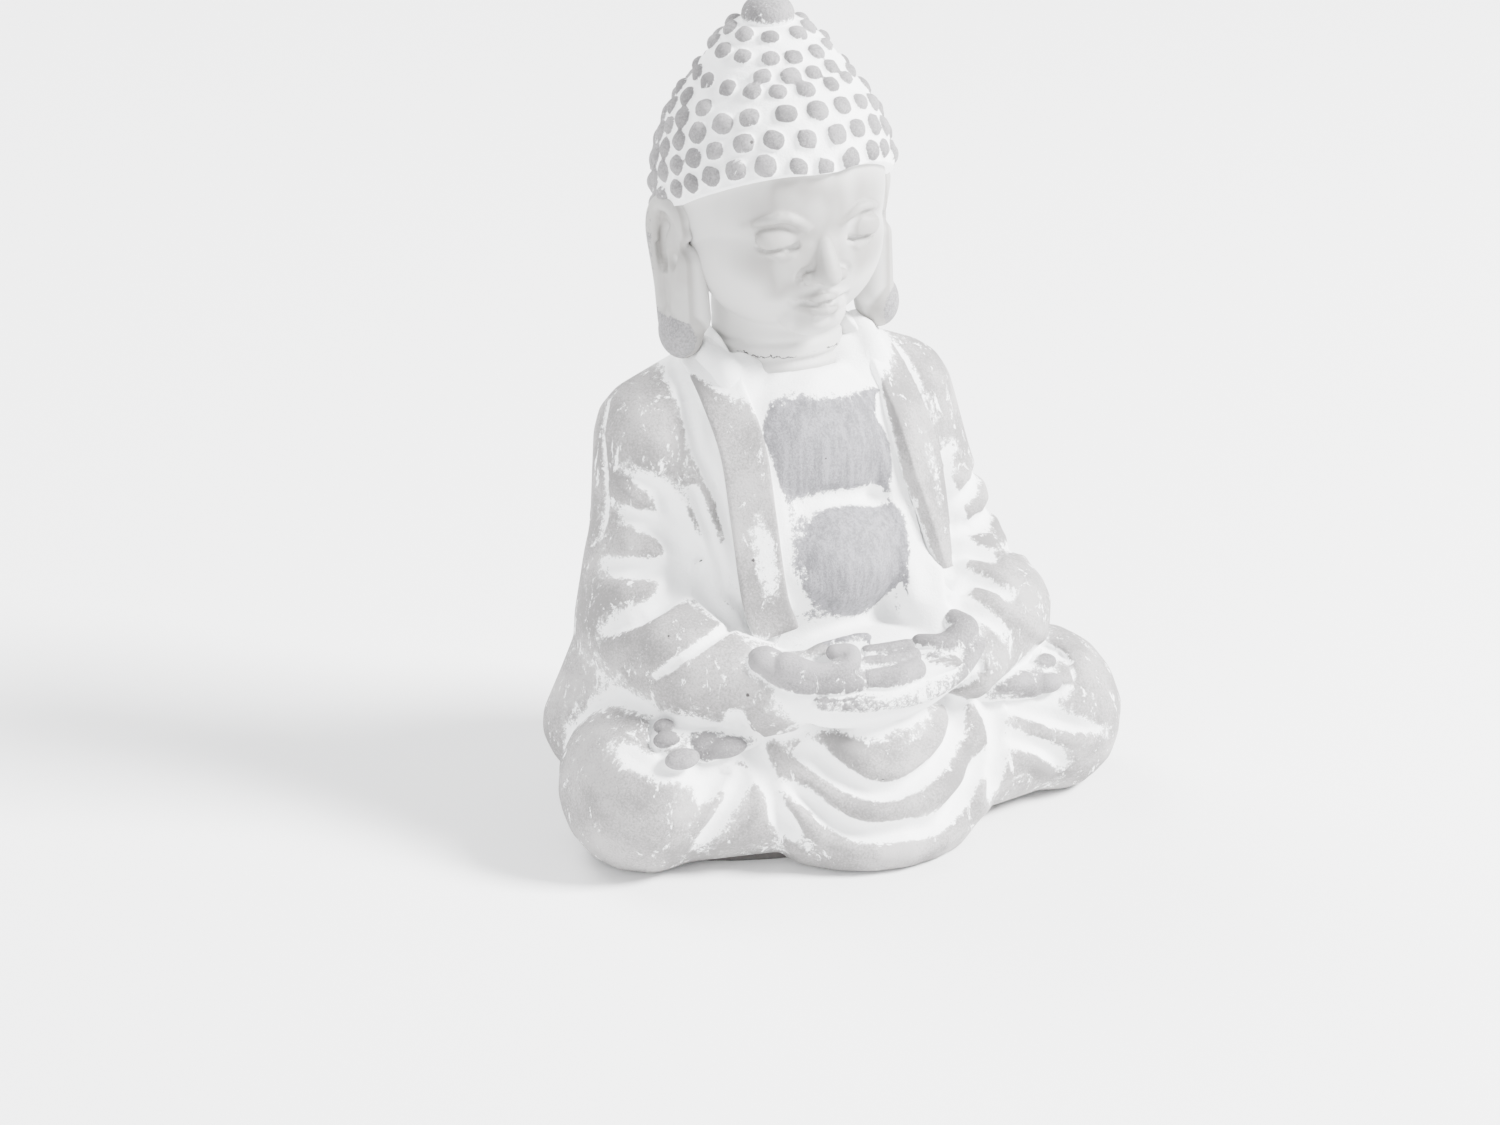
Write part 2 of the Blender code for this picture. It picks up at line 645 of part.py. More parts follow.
def hair_cap(group):
    """The cap of hair, with rows of curls from the hairline to the crown."""
    clay = []
    ball(clay, (0, HEAD_Y, HEAD_Z), hair_radii())
    dome = clay_mesh("hair_cap", clay)
    height, slope = row_plane(0)
    cut_flat(dome, (0, HEAD_Y, height - 0.35 * CURL_SIZE), (0, -slope, 1))
    cut_flat(dome, (0, HEAD_Y, CROWN_Z - JOINT_GAP / 2), (0, 0, -1))
    curls = bmesh.new()
    rx, ry, rz = hair_radii()
    rows = round((CROWN_Z - height) / CURL_PITCH * 1.2)
    for row in range(rows):
        share = (row + 0.55) / rows
        for point in ring_of(lambda angle: on_hair(angle, share), CURL_PITCH, row % 2):
            offset = point - Vector((0, HEAD_Y, HEAD_Z))
            outward = Vector((offset.x / rx**2, offset.y / ry**2, offset.z / rz**2)).normalized()
            curl(curls, point, outward)
    return studded("hair_cap", dome, curls, group)


def crown_radius(z):
    """Radius of the crown at a height above its foot: a bell that closes under the finial."""
    share = min(1.0, max(0.0, z / CROWN_HEIGHT))
    return CROWN_WIDTH / 2 * (1 - 0.48 * share**1.9)


def leaning(mesh, foot_z):
    """Leans the mesh towards the back above foot_z."""
    lean = Matrix.Shear("XY", 4, (0, 0))
    lean[1][2] = CROWN_LEAN
    foot = Matrix.Translation((0, 0, foot_z))
    mesh.transform(foot @ lean @ foot.inverted())


def crown(group):
    """The raised crown on top of the hair, turned and set with curls."""
    levels = 5
    foot_z = CROWN_Z + JOINT_GAP / 2
    profile = bmesh.new()
    heights = [CROWN_HEIGHT * (1 - k / levels) for k in range(levels + 1)]
    wall = [(crown_radius(height), foot_z + height) for height in heights]
    points = [(0, foot_z + CROWN_HEIGHT), *wall, (0, foot_z)]
    verts = [profile.verts.new((x, 0, z)) for x, z in points]
    for a, b in zip(verts, verts[1:]):
        profile.edges.new((a, b))
    mesh = bpy.data.meshes.new("crown")
    profile.to_mesh(mesh)
    profile.free()
    turned = new_object("crown_turned", mesh, group)
    turned.location = (0, HEAD_Y, 0)
    screw = turned.modifiers.new("turn", "SCREW")
    screw.steps = screw.render_steps = 20
    screw.use_merge_vertices = True
    screw.merge_threshold = 0.00005
    dome = evaluated_mesh(turned)
    dome.transform(Matrix.Translation((0, HEAD_Y, 0)))
    bpy.data.objects.remove(turned)
    curls = bmesh.new()
    rows = max(2, round(CROWN_HEIGHT / CURL_PITCH * 1.1))
    for row in range(rows):
        z = CROWN_HEIGHT * (row + 0.5) / rows
        radius = crown_radius(z)
        lean = (crown_radius(z - 0.5 * MM) - crown_radius(z + 0.5 * MM)) / MM
        centre = Vector((0, HEAD_Y, foot_z + z))
        reach = Vector((0, -radius, 0))
        for point in ring_of(lambda turn: centre + Matrix.Rotation(turn, 3, "Z") @ reach,
                             CURL_PITCH, row % 2):
            outward = (point - centre).normalized() + Vector((0, 0, lean))
            curl(curls, point, outward.normalized())
    made, plain = studded("crown", dome, curls, group)
    for mesh in (made, plain):
        leaning(mesh, foot_z)
    return made, plain


def crown_finial():
    """The smooth knob that closes the crown."""
    low = CROWN_Z + CROWN_HEIGHT + 1.5 * JOINT_GAP
    clay = []
    ball(clay, (0, HEAD_Y, low), (FINIAL_WIDTH / 2, FINIAL_WIDTH / 2, FINIAL_HEIGHT))
    mesh = clay_mesh("crown_finial", clay)
    cut_flat(mesh, (0, 0, low), (0, 0, 1))
    leaning(mesh, CROWN_Z)
    return mesh


# ---- Assembly

SIDES = (("right", -1), ("left", 1))


def main():
    clear_scene()
    figure = Figure()
    scratch = figure.cutters
    figure.add("base_pad", base_pad(), FELT)
    figure.add("neck_dowel", neck_dowel(), STEEL, 0.4, 1.0)
    figure.add("crown_finial", crown_finial(), CEMENT)
    for name, side in SIDES:
        figure.add("ear_" + name, ear(side, scratch), CEMENT)
    for name, make in (("crown", crown), ("hair_cap", hair_cap)):
        with_curls, dome = make(scratch)
        figure.add(name, with_curls, CEMENT, form=dome)
    figure.add("head", head(scratch), WASHED_CEMENT)
    figure.add("hand_right", hand(-1, HAND_LIFT, scratch), BARE_CEMENT)
    figure.add("hand_left", hand(1, 0, scratch), BARE_CEMENT)
    for name, side in SIDES:
        figure.add("lapel_" + name, lapel(side, scratch), CEMENT)
    for name, side in SIDES:
        figure.add("foot_" + name, foot(side, scratch), BARE_CEMENT)
    for name, side in SIDES:
        figure.add("sleeve_" + name, sleeve(side, scratch), CEMENT)
    figure.add("apron", apron(scratch), CEMENT)
    for name, side in SIDES:
        figure.add("leg_" + name, leg(side, scratch), CEMENT)
    figure.add("chest", chest(scratch), BARE_CEMENT)
    figure.add("robe_body", robe_body(scratch), CEMENT)


main()
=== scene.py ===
# %% [markdown]
# # A seated figure in washed cement
#
# The real object is a small cement casting. It was brushed with white wash, and the wash was
# then rubbed off everything that stands out, so the grey cement shows on the high places and
# the white stays in the hollows. That one idea decides how this file is laid out: first the
# shapes, then a measure of how hollow each point of the surface is, then the finishes that
# read that measure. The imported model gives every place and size.

import math
import random

import bmesh
import bpy
import numpy as np
from mathutils import Matrix, Vector
from mathutils.bvhtree import BVHTree


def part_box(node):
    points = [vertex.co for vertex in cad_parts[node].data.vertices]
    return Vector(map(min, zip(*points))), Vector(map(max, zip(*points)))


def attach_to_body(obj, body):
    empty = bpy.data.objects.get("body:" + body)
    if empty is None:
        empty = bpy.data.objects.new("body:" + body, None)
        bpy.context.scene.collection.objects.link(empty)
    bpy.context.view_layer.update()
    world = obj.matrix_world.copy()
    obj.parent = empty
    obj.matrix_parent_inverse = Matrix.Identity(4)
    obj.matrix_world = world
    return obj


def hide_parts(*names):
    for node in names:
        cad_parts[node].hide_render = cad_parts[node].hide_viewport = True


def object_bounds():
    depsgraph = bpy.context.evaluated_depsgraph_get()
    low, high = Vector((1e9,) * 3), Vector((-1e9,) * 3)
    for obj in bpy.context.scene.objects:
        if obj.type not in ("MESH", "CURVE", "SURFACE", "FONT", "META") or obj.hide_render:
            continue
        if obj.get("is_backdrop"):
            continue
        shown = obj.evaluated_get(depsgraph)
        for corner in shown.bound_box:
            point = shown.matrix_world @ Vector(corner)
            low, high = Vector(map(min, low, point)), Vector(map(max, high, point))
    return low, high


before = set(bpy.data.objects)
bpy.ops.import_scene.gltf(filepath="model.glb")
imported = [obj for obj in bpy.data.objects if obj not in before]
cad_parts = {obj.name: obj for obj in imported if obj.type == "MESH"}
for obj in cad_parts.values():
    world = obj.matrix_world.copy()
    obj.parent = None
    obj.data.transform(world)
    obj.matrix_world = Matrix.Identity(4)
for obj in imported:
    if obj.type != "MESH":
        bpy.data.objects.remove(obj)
cad_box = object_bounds()
MM = 0.001
print("packed nodes:", ", ".join(sorted(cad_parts)))

# %% [markdown]
# ## Clay
#
# A sculptor starts with lumps of clay that are pressed together and smoothed over. Here a
# lump is a matrix that places a ball or a block of size 1. A voxel remesh then turns all the
# overlapping lumps into one closed skin with even faces, which is what sculpting needs. A
# subdivision cage would be lighter, but it is hard to keep tidy where ten folds meet.


# %% Lumps of clay
def spline(points, step):
    """Points a step apart on a smooth curve through the given ones (Catmull-Rom)."""
    fixed = [Vector(p) * MM for p in points]
    ends = [2 * fixed[0] - fixed[1], *fixed, 2 * fixed[-1] - fixed[-2]]
    found = []
    for a, b, c, d in zip(ends, ends[1:], ends[2:], ends[3:]):
        count = max(1, round((c - b).length / (step * MM)))
        for k in range(count):
            t = k / count
            found.append(0.5 * (2 * b + (c - a) * t + (2 * a - 5 * b + 4 * c - d) * t * t
                                + (3 * b - a - 3 * c + d) * t**3))
    return found + [fixed[-1]]


FINE_FROM = 9.0
BLOCK_STEP, BLOCK_LENGTH = 0.6, 1.6


def ball(clay, centre, radii, turn=None):
    """An ellipsoid, in millimetres, turned about its centre."""
    kind = "fine ball" if max(radii) > FINE_FROM else "ball"
    turned = turn.to_4x4() if turn else Matrix.Identity(4)
    size = Matrix.Diagonal((*(Vector(radii) * MM), 1))
    clay.append((kind, Matrix.Translation(Vector(centre) * MM) @ turned @ size))


def limb(clay, points, radii, flat=(1, 1, 1)):
    """Balls in a row along a smooth curve, with a radius at each of its points."""
    line = spline(points, 0.3 * min(radii))
    for k, place in enumerate(line):
        along = k / (len(line) - 1) * (len(radii) - 1)
        radius = float(np.interp(along, range(len(radii)), radii))
        ball(clay, place / MM, [radius * size for size in flat])


def bar(clay, points, width, thick, outward, taper=0.0):
    """A flat band of blocks along a smooth curve. outward is the way its face looks, and taper
    is the share of its length over which it narrows to its lower end."""
    line = spline(points, BLOCK_STEP)
    for k, (a, b) in enumerate(zip(line, line[1:])):
        left = (len(line) - 1 - k) / len(line)
        narrow = min(1, 0.25 + 0.75 * left / taper) if taper else 1
        ahead = (b - a).normalized()
        side = ahead.cross(Vector(outward)).normalized()
        turn = Matrix((side, side.cross(ahead), ahead)).transposed().to_4x4()
        size = Vector((width * narrow, thick, BLOCK_LENGTH)) * MM
        place = Matrix.Translation((a + b) / 2) @ turn
        clay.append(("block", place @ Matrix.Diagonal((*size, 1))))


# %% From clay to skin
def mesh_of(bm, name):
    """The mesh of a bmesh, which is then freed."""
    mesh = bpy.data.meshes.new(name)
    bm.to_mesh(mesh)
    bm.free()
    return mesh


def unit_meshes():
    """The balls of radius 1 and the block of side 1 that all clay is made of. A large ball needs
    smaller faces, or they show through the skin."""
    made = {}
    for name, rounds in (("ball", 3), ("fine ball", 5), ("block", 0)):
        bm = bmesh.new()
        if rounds:
            bmesh.ops.create_icosphere(bm, subdivisions=rounds, radius=1)
        else:
            bmesh.ops.create_cube(bm, size=1)
        made[name] = mesh_of(bm, name)
    return made


UNITS = unit_meshes()


def lumps(name, clay):
    """All the lumps as one mesh, still overlapping."""
    bm = bmesh.new()
    for kind, place in clay:
        one = UNITS[kind].copy()
        one.transform(place)
        bm.from_mesh(one)
        bpy.data.meshes.remove(one)
    return mesh_of(bm, name)


def new_piece(name, mesh):
    piece = bpy.data.objects.new(name, mesh)
    bpy.context.scene.collection.objects.link(piece)
    return piece


def applied(piece):
    """Gives the piece the mesh that its modifiers make, and removes them."""
    graph = bpy.context.evaluated_depsgraph_get()
    mesh = bpy.data.meshes.new_from_object(piece.evaluated_get(graph))
    piece.modifiers.clear()
    piece.data = mesh
    mesh.name = piece.name
    return piece


def skinned(name, mesh, voxel, smooth):
    """One closed, even skin over overlapping lumps."""
    piece = new_piece(name, mesh)
    remesh = piece.modifiers.new("skin", "REMESH")
    remesh.mode = "VOXEL"
    remesh.voxel_size = voxel * MM
    soften = piece.modifiers.new("soften", "SMOOTH")
    soften.iterations = smooth
    applied(piece)
    piece.data.shade_smooth()
    print(name, len(piece.data.vertices), "vertices")
    return piece


# %% [markdown]
# ## Sculpting in code
#
# A fold is a line on the surface beside which the skin is raised or pressed in. The surface
# is read into arrays once, so that a stroke costs little. Each stroke also leaves a note of
# how much white wash it holds: a pressed line keeps the wash, and a raised one loses it.


# %% A surface that takes strokes
def rows_of(items, name, kind=np.float32):
    """One property of a mesh's elements as an array, three numbers to a row."""
    values = np.empty((len(items), 3), kind)
    items.foreach_get(name, values.ravel())
    return values


class Surface:
    """A piece's vertices as arrays: places, normals, and the wash that lies on them."""

    def __init__(self, piece):
        self.piece = piece
        self.wash = np.zeros(len(piece.data.vertices))
        self.read()

    def read(self):
        self.place = rows_of(self.piece.data.vertices, "co")
        self.normal = rows_of(self.piece.data.vertex_normals, "vector")

    def write(self):
        """Puts the moved places back and measures the normals again."""
        self.piece.data.vertices.foreach_set("co", self.place.ravel())
        self.piece.data.update()
        self.read()

    def stroke(self, points, width, height, wash=0.0, spread=1.5, ends=(0.25, 0.25), sharp=2.0):
        """Raises the skin (or presses it, below 0) along a curve, in millimetres. ends are the
        shares of the line over which it fades in and out, and spread is the wash's reach."""
        line = np.array(spline(points, 0.5), np.float32)
        reach = width * max(1, spread) * MM
        inside = (self.place > line.min(0) - reach) & (self.place < line.max(0) + reach)
        near = np.flatnonzero(inside.all(1))
        if len(near) == 0:
            print("a stroke missed", self.piece.name, points)
            return
        spots, facing = self.place[near], self.normal[near]
        closest = np.linalg.norm(line[:, None] - spots[None], axis=2).argmin(1)
        out = facing[closest]
        line = line - ((line - spots[closest]) * out).sum(1)[:, None] * out
        apart = np.linalg.norm(line[:, None] - spots[None], axis=2)
        at, away = apart.argmin(0), apart.min(0) / MM
        share = at / max(1, len(line) - 1)
        fade = np.ones(len(share))
        for run, end in ((share, ends[0]), (1 - share, ends[1])):
            if end:
                fade *= np.clip(run / end, 0, 1) ** 0.8
        fade *= (facing * out[at]).sum(1) > 0.2
        shape = np.clip(1 - (away / width) ** 2, 0, 1) ** sharp
        self.place[near] += (height * MM * fade * shape)[:, None] * facing
        self.wash[near] += wash * fade * np.clip(1 - (away / (width * spread)) ** 2, 0, 1)

    def strokes(self, lines, *style, **more):
        """The same stroke along each of several curves."""
        for line in lines:
            self.stroke(line, *style, **more)

    def spot(self, centre, radius, height, wash=0.0, spread=1.0, sharp=2.0):
        """The same, round one point."""
        x, y, z = centre
        self.stroke([(x, y, z), (x + 0.01, y, z)], radius, height, wash, spread, (0, 0), sharp)


def cast(name, clay, voxel=0.25, smooth=4, wash=0.0):
    """The surface of a piece that is skinned from its clay."""
    surface = Surface(skinned(name, lumps(name, clay), voxel, smooth))
    surface.wash += wash
    return surface


def moved(line, dx=0, dy=0, dz=0):
    return [(x + dx, y + dy, z + dz) for x, y, z in line]


# %% [markdown]
# ## The robe's skin
#
# On the real figure the robe, the bare chest and the legs are one cast surface, so folds run
# from one section of the model into the next. The sections are therefore copied, swelled a
# little until the joints between them close, and skinned as one. Slimmer copies of the
# lapels, hands and feet fill their beds, because those pieces are modelled apart and sit in
# the skin, and a few lumps fill the lap under the hands and the socket of the neck. After the
# sculpting the skin is divided again into the same sections.

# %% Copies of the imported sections
SKIN_NODES = ("robe_body", "chest", "sleeve_right", "sleeve_left", "apron", "leg_right", "leg_left")
FILLERS = [pair + side for pair in ("lapel", "hand", "foot") for side in ("_right", "_left")]
SWELL = 0.25
FILLER_SWELL = -0.7
NECK = (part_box("neck_dowel")[0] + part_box("neck_dowel")[1]) / 2 / MM


def swelled_copy(bm, node, by):
    """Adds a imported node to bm, with its doubles merged and its skin moved out."""
    copy = bmesh.new()
    copy.from_mesh(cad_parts[node].data)
    bmesh.ops.remove_doubles(copy, verts=copy.verts[:], dist=1e-6)
    copy.normal_update()
    for vert in copy.verts:
        vert.co += vert.normal * by * MM
    mesh = mesh_of(copy, node + "_copy")
    bm.from_mesh(mesh)
    bpy.data.meshes.remove(mesh)


def robe_lumps():
    bm = bmesh.new()
    for nodes, by in ((SKIN_NODES, SWELL), (FILLERS, FILLER_SWELL)):
        for node in nodes:
            swelled_copy(bm, node, by)
    fill = []
    limb(fill, [(0, NECK.y - 1, NECK.z - 9), (0, NECK.y - 1, NECK.z + 2)], [8, 8])
    limb(fill, [(-15, -13, 28), (-6, -19.4, 24.6), (6, -19.8, 24.6), (16, -15, 27)],
         [3.4, 3.8, 3.8, 3.6])
    ball(fill, (2, -12, 26.4), (14, 8, 4))
    for side in (-1, 1):
        limb(fill, [(side * 8.2, 5.0, 64), (side * 8.6 + 1, 0.5, 57), (side * 9.2 + 1.8, -2.8, 47),
                    (side * 9.6 + 2.6, -6.4, 36)], [3.6, 4.0, 4.2, 4.2])
    limb(fill, [(11, -4, 42), (13, -8.5, 34), (14, -11, 29)], [3.5, 4.5, 4.5])
    bm.from_mesh(lumps("fill", fill))
    return mesh_of(bm, "robe_lumps")


ROBE_VOXEL = 0.45
skin = skinned("robe_skin", robe_lumps(), ROBE_VOXEL, 16)
robe = Surface(skin)

# %% [markdown]
# ## Folds of the robe
#
# On each side the arm bends, so the cloth is caught in the crook of the elbow. The folds of
# the sleeve all start in that hollow and fan out from it: up to the shoulder, out to the
# elbow, and down over the forearm. Between two valleys the cloth stands up in a soft ridge.
# The lines are given by a few points each, in whole millimetres, and a stroke then moves
# them onto the skin.


# %% Sleeve folds
VALLEY = {"wash": 0.55, "spread": 1.5, "ends": (0.05, 0.45)}
RIDGE = {"wash": -0.3, "spread": 1.1, "ends": (0.35, 0.35)}
GROOVE = {"wash": 0.5, "spread": 1.4, "ends": (0.12, 0.2), "sharp": 1.4}
RIGHT_CROOK = (-18, -1, 40)
LEFT_CROOK = (21, 0, 41)
robe.spot(RIGHT_CROOK, 4.5, -1.2, 0.7, 1.1)
robe.strokes([
    [RIGHT_CROOK, (-21, 2, 49), (-26, 7, 54)],
    [RIGHT_CROOK, (-22, 2, 45), (-27, 7, 49)],
    [RIGHT_CROOK, (-24, 0, 40), (-29, 7, 39)],
    [RIGHT_CROOK, (-26, -3, 35), (-32, 3, 30)],
    [RIGHT_CROOK, (-16, -7, 35), (-10, -11, 32)],
], 2.4, -1.25, **VALLEY)
robe.strokes([
    [(-28, 6, 43), (-21, 0, 42)],
    [(-30, 4, 36), (-22, -1, 37)],
    [(-27, 8, 51), (-21, 2, 47)],
    [(-31, 2, 28), (-27, -5, 33), (-20, -6, 36)],
], 2.4, 0.7, **RIDGE)
robe.write()
robe.spot(LEFT_CROOK, 3.2, -1.0, 0.7, 1.1)
robe.stroke([(20, 0, 45), (21, -2, 38), (17, -10, 35), (14, -11, 32)], 2.6, -1.1, 0.7, 1.5)
robe.strokes([
    [LEFT_CROOK, (22, 2, 47), (25, 4, 50)],
    [LEFT_CROOK, (24, 0, 42), (29, 4, 42)],
    [LEFT_CROOK, (24, -1, 38), (30, 1, 37)],
    [(20, -3, 37), (24, -5, 36), (27, -7, 35)],
    [(17, -10, 35), (22, -9, 33), (26, -14, 31)],
    [(14, -11, 32), (19, -14, 31), (23, -18, 27)],
], 1.9, -1.1, **VALLEY)
robe.strokes([
    [(28, 3, 44), (23, 1, 44)],
    [(29, 2, 39), (24, 0, 40)],
    [(28, -3, 36), (22, -1, 38)],
    [(27, -12, 32), (21, -5, 35)],
    [(34, -7, 22), (25, -15, 29), (20, -9, 33)],
    [(18, 3, 59), (20, 2, 50), (19, 1, 46)],
], 1.9, 0.65, **RIDGE)
robe.write()

# %% The steps down the left sleeve, and the lines beside the lapels
for line in ([(25, 0, 43), (29, 5, 43), (28, 13, 42)],
             [(25, -2, 39), (30, 3, 38), (30, 11, 36)],
             [(27, -5, 34), (32, 0, 33), (32, 9, 30)]):
    robe.stroke(line, 2.1, -1.0, 0.3, 1.2, ends=(0.3, 0.4))
    robe.stroke(moved(line, dz=-2.4), 2.6, 0.35, -0.15, 1.1, ends=(0.3, 0.4))
robe.write()
robe.strokes([
    [(-15, 12, 66), (-16, 4, 57), (-13, 0, 48), (-13, -5, 38)],
    [(-17, 2, 51), (-15, -1, 42), (-15, -5, 36)],
    [(-14, -8, 33), (-22, -11, 32), (-28, -8, 27)],
    [(13, 6, 69), (16, 3, 58), (19, 0, 45), (18, -8, 38)],
    [(13, -3, 54), (15, -8, 42), (16, -10, 37)],
], 1.1, -0.8, **GROOVE)
robe.stroke([(-22, 14, 62), (-27, 9, 53), (-29, 7, 41)], 1.0, -0.5, **(GROOVE | {"wash": 0.15}))
robe.write()
print("sleeve folds sculpted")

# %% [markdown]
# ## Chest, lap and knees
#
# The bare chest is two soft swellings, with a crease where they meet. The cloth that hangs
# from the lap falls in three deep bands, one under the other, like a curtain that is pushed
# up from below. Over the knees the cloth is stretched, so only short, shallow lines show.

# %% Chest and belly
robe.stroke([(-6, -5, 48), (-1, -6, 49), (6, -6, 48), (12, -4, 46)], 2.2, -0.8, 0.5, 1.5)
PATCHES = [
    ([(-3, -4, 58), (6, -4, 58)], 8.0, 0.4),
    ([(-2, -6, 53), (7, -5, 53)], 5.5, 0.2),
    ([(1, -9, 42), (8, -8, 42)], 6.5, 0.4),
    ([(3, -11, 37), (6, -11, 37)], 6.0, 0.3),
]
for line, width, height in PATCHES:
    robe.stroke(line, width, height, -1.0, 1.1, ends=(0, 0), sharp=1.0)
robe.spot((2, -13, 30), 9, 0.0, 0.9, 1.0)
robe.stroke([(-14, -16, 27), (-5, -21, 25), (6, -22, 25), (15, -17, 27)], 4.5, 0.0, 0.9, 1.2)
robe.strokes([
    [(-9, 1, 62), (-9, -4, 52), (-8, -7, 40), (-7, -10, 33)],
    [(11, -1, 62), (14, -3, 52), (14, -7, 42), (13, -10, 34)],
    [(-15, 10, 66), (-15, 0, 56), (-13, -3, 45), (-12, -8, 35)],
    [(14, 6, 67), (17, 1, 56), (18, -3, 45), (17, -9, 36)],
], 2.4, -0.15, 0.7, 1.3, ends=(0.05, 0.05))
robe.stroke([(9.5, -1, 61), (12, -6, 50), (12.5, -8.5, 43), (13, -11, 35)], 3.0, -0.7, 1.3, 1.1,
            ends=(0.1, 0))
robe.stroke([(12, -11, 37), (12, -13, 31), (15, -13, 30)], 3.5, -0.2, 1.3, 1.1, ends=(0, 0))
robe.stroke([(5.5, -12.5, 38), (6, -13, 34)], 1.2, 0.1, 1.1, 1.0, ends=(0, 0))
robe.write()

# %% The bands of cloth below the lap
robe.strokes([
    [(-10, -17, 18), (-2, -24, 12), (6, -24, 13), (17, -15, 18)],
    [(-13, -18, 14), (-5, -24, 7), (2, -26, 6), (9, -25, 6), (19, -19, 13)],
], 2.2, -1.3, 0.6, 1.3, ends=(0.1, 0.1))
robe.strokes([
    [(-7, -18, 20), (0, -24, 15), (7, -24, 16), (15, -15, 19)],
    [(-18, -17, 25), (-13, -16, 16), (-4, -24, 10), (7, -25, 10), (17, -19, 14), (18, -19, 24)],
    [(-15, -19, 13), (-7, -24, 5), (0, -26, 3), (7, -26, 3), (14, -23, 4)],
], 2.3, 0.7, -0.35, 1.1, ends=(0.15, 0.15))
robe.write()
robe.strokes([
    [(-19, -16, 25), (-16, -15, 19), (-14, -20, 10), (-10, -22, 4)],
    [(22, -15, 20), (20, -19, 11), (17, -22, 5)],
], 2.0, -1.1, **(GROOVE | {"wash": 0.6}))
robe.stroke([(-12, -19, 24), (-4, -24, 24), (4, -24, 24), (12, -22, 24)], 3.4, -0.3, 0.7, 1.4)
robe.write()

# %% The knees
robe.strokes([
    [(-20, -16, 16), (-23, -17, 14), (-26, -17, 12)],
    [(-17, -17, 16), (-22, -18, 10), (-25, -16, 4)],
    [(23, -15, 17), (30, -17, 14), (40, -16, 9)],
    [(22, -18, 13), (28, -18, 10), (33, -17, 6)],
], 1.8, -0.9, **VALLEY)
robe.strokes([
    [(-20, -17, 14), (-23, -18, 11), (-26, -17, 7)],
    [(-16, -18, 15), (-17, -19, 9), (-21, -16, 4)],
    [(23, -17, 15), (32, -18, 11), (39, -17, 9)],
    [(23, -19, 11), (28, -18, 7), (31, -16, 4)],
], 1.7, 0.5, **RIDGE)
robe.strokes([[(-35, -8, 19), (-30, -15, 17), (-18, -17, 15)],
              [(22, -13, 17), (27, -15, 17), (34, -15, 18)]], 1.6, -0.3, 0.6, 1.6)
robe.spot((-33, -12, 10), 8, 0.0, -0.25)
robe.write()

# %% [markdown]
# The back can't be seen where the figure usually stands, but a good casting is finished all
# round. The robe hangs from the shoulders in long lines that gather towards the seat.

# %% Folds down the back
BACK_FOLDS = [
    [(-18, 20, 60), (-14, 26, 40), (-17, 27, 14)],
    [(-6, 22, 62), (-4, 27, 40), (-7, 28, 12)],
    [(7, 22, 61), (6, 27, 38), (3, 28, 14)],
    [(18, 20, 59), (15, 26, 38), (14, 27, 12)],
    [(-28, 14, 44), (-27, 18, 26), (-30, 15, 10)],
    [(28, 14, 44), (26, 18, 26), (28, 15, 10)],
]
for line in BACK_FOLDS:
    robe.stroke(line, 3.0, -0.9, 0.45, 1.2, ends=(0.3, 0.3))
    robe.stroke(moved(line, dx=5), 2.6, 0.6, -0.2, 1.1, ends=(0.3, 0.3))
for x in (-8, 0, 9):
    robe.stroke([(0.8 * x, 19, 66), (x, 25, 52), (1.2 * x, 28, 36), (1.4 * x, 29, 16)],
                7, 0, -0.8, 1.0, ends=(0.15, 0.2))
robe.write()
print("robe skin:", len(robe.place), "vertices")

# %% [markdown]
# ## The head
#
# The face is a calm, general one on the proportions of a drawing manual. The head is five
# eyes wide. The brow, the base of the nose and the chin divide the face below the hair into
# thirds, and the mouth lies a third of the way from the nose to the chin. Skull, jaw, cheeks,
# nose, lips and lids are lumps of clay, and the lid and lip lines are strokes.

# %% Proportions of the face
HEAD = NECK + Vector((0, 0, 26))
HEAD_RADII = Vector((15, 16.5, 19))
CHIN_Z = HEAD.z - HEAD_RADII.z
FRONT_Y = HEAD.y - HEAD_RADII.y
HAIRLINE_Z = CHIN_Z + 26.5
THIRD = (HAIRLINE_Z - CHIN_Z) / 3
BROW_Z = CHIN_Z + 2 * THIRD
NOSE_Z = CHIN_Z + THIRD
MOUTH_Z = NOSE_Z - THIRD / 3
EYE = 2 * HEAD_RADII.x / 5
EYE_Z = BROW_Z - 0.3 * THIRD
HAIR_THICK = 1.3
HAIR_SLOPE = -0.55


def both_sides(*points):
    """The points as given, and then mirrored."""
    return [[(side * x, y, z) for x, y, z in points] for side in (1, -1)]


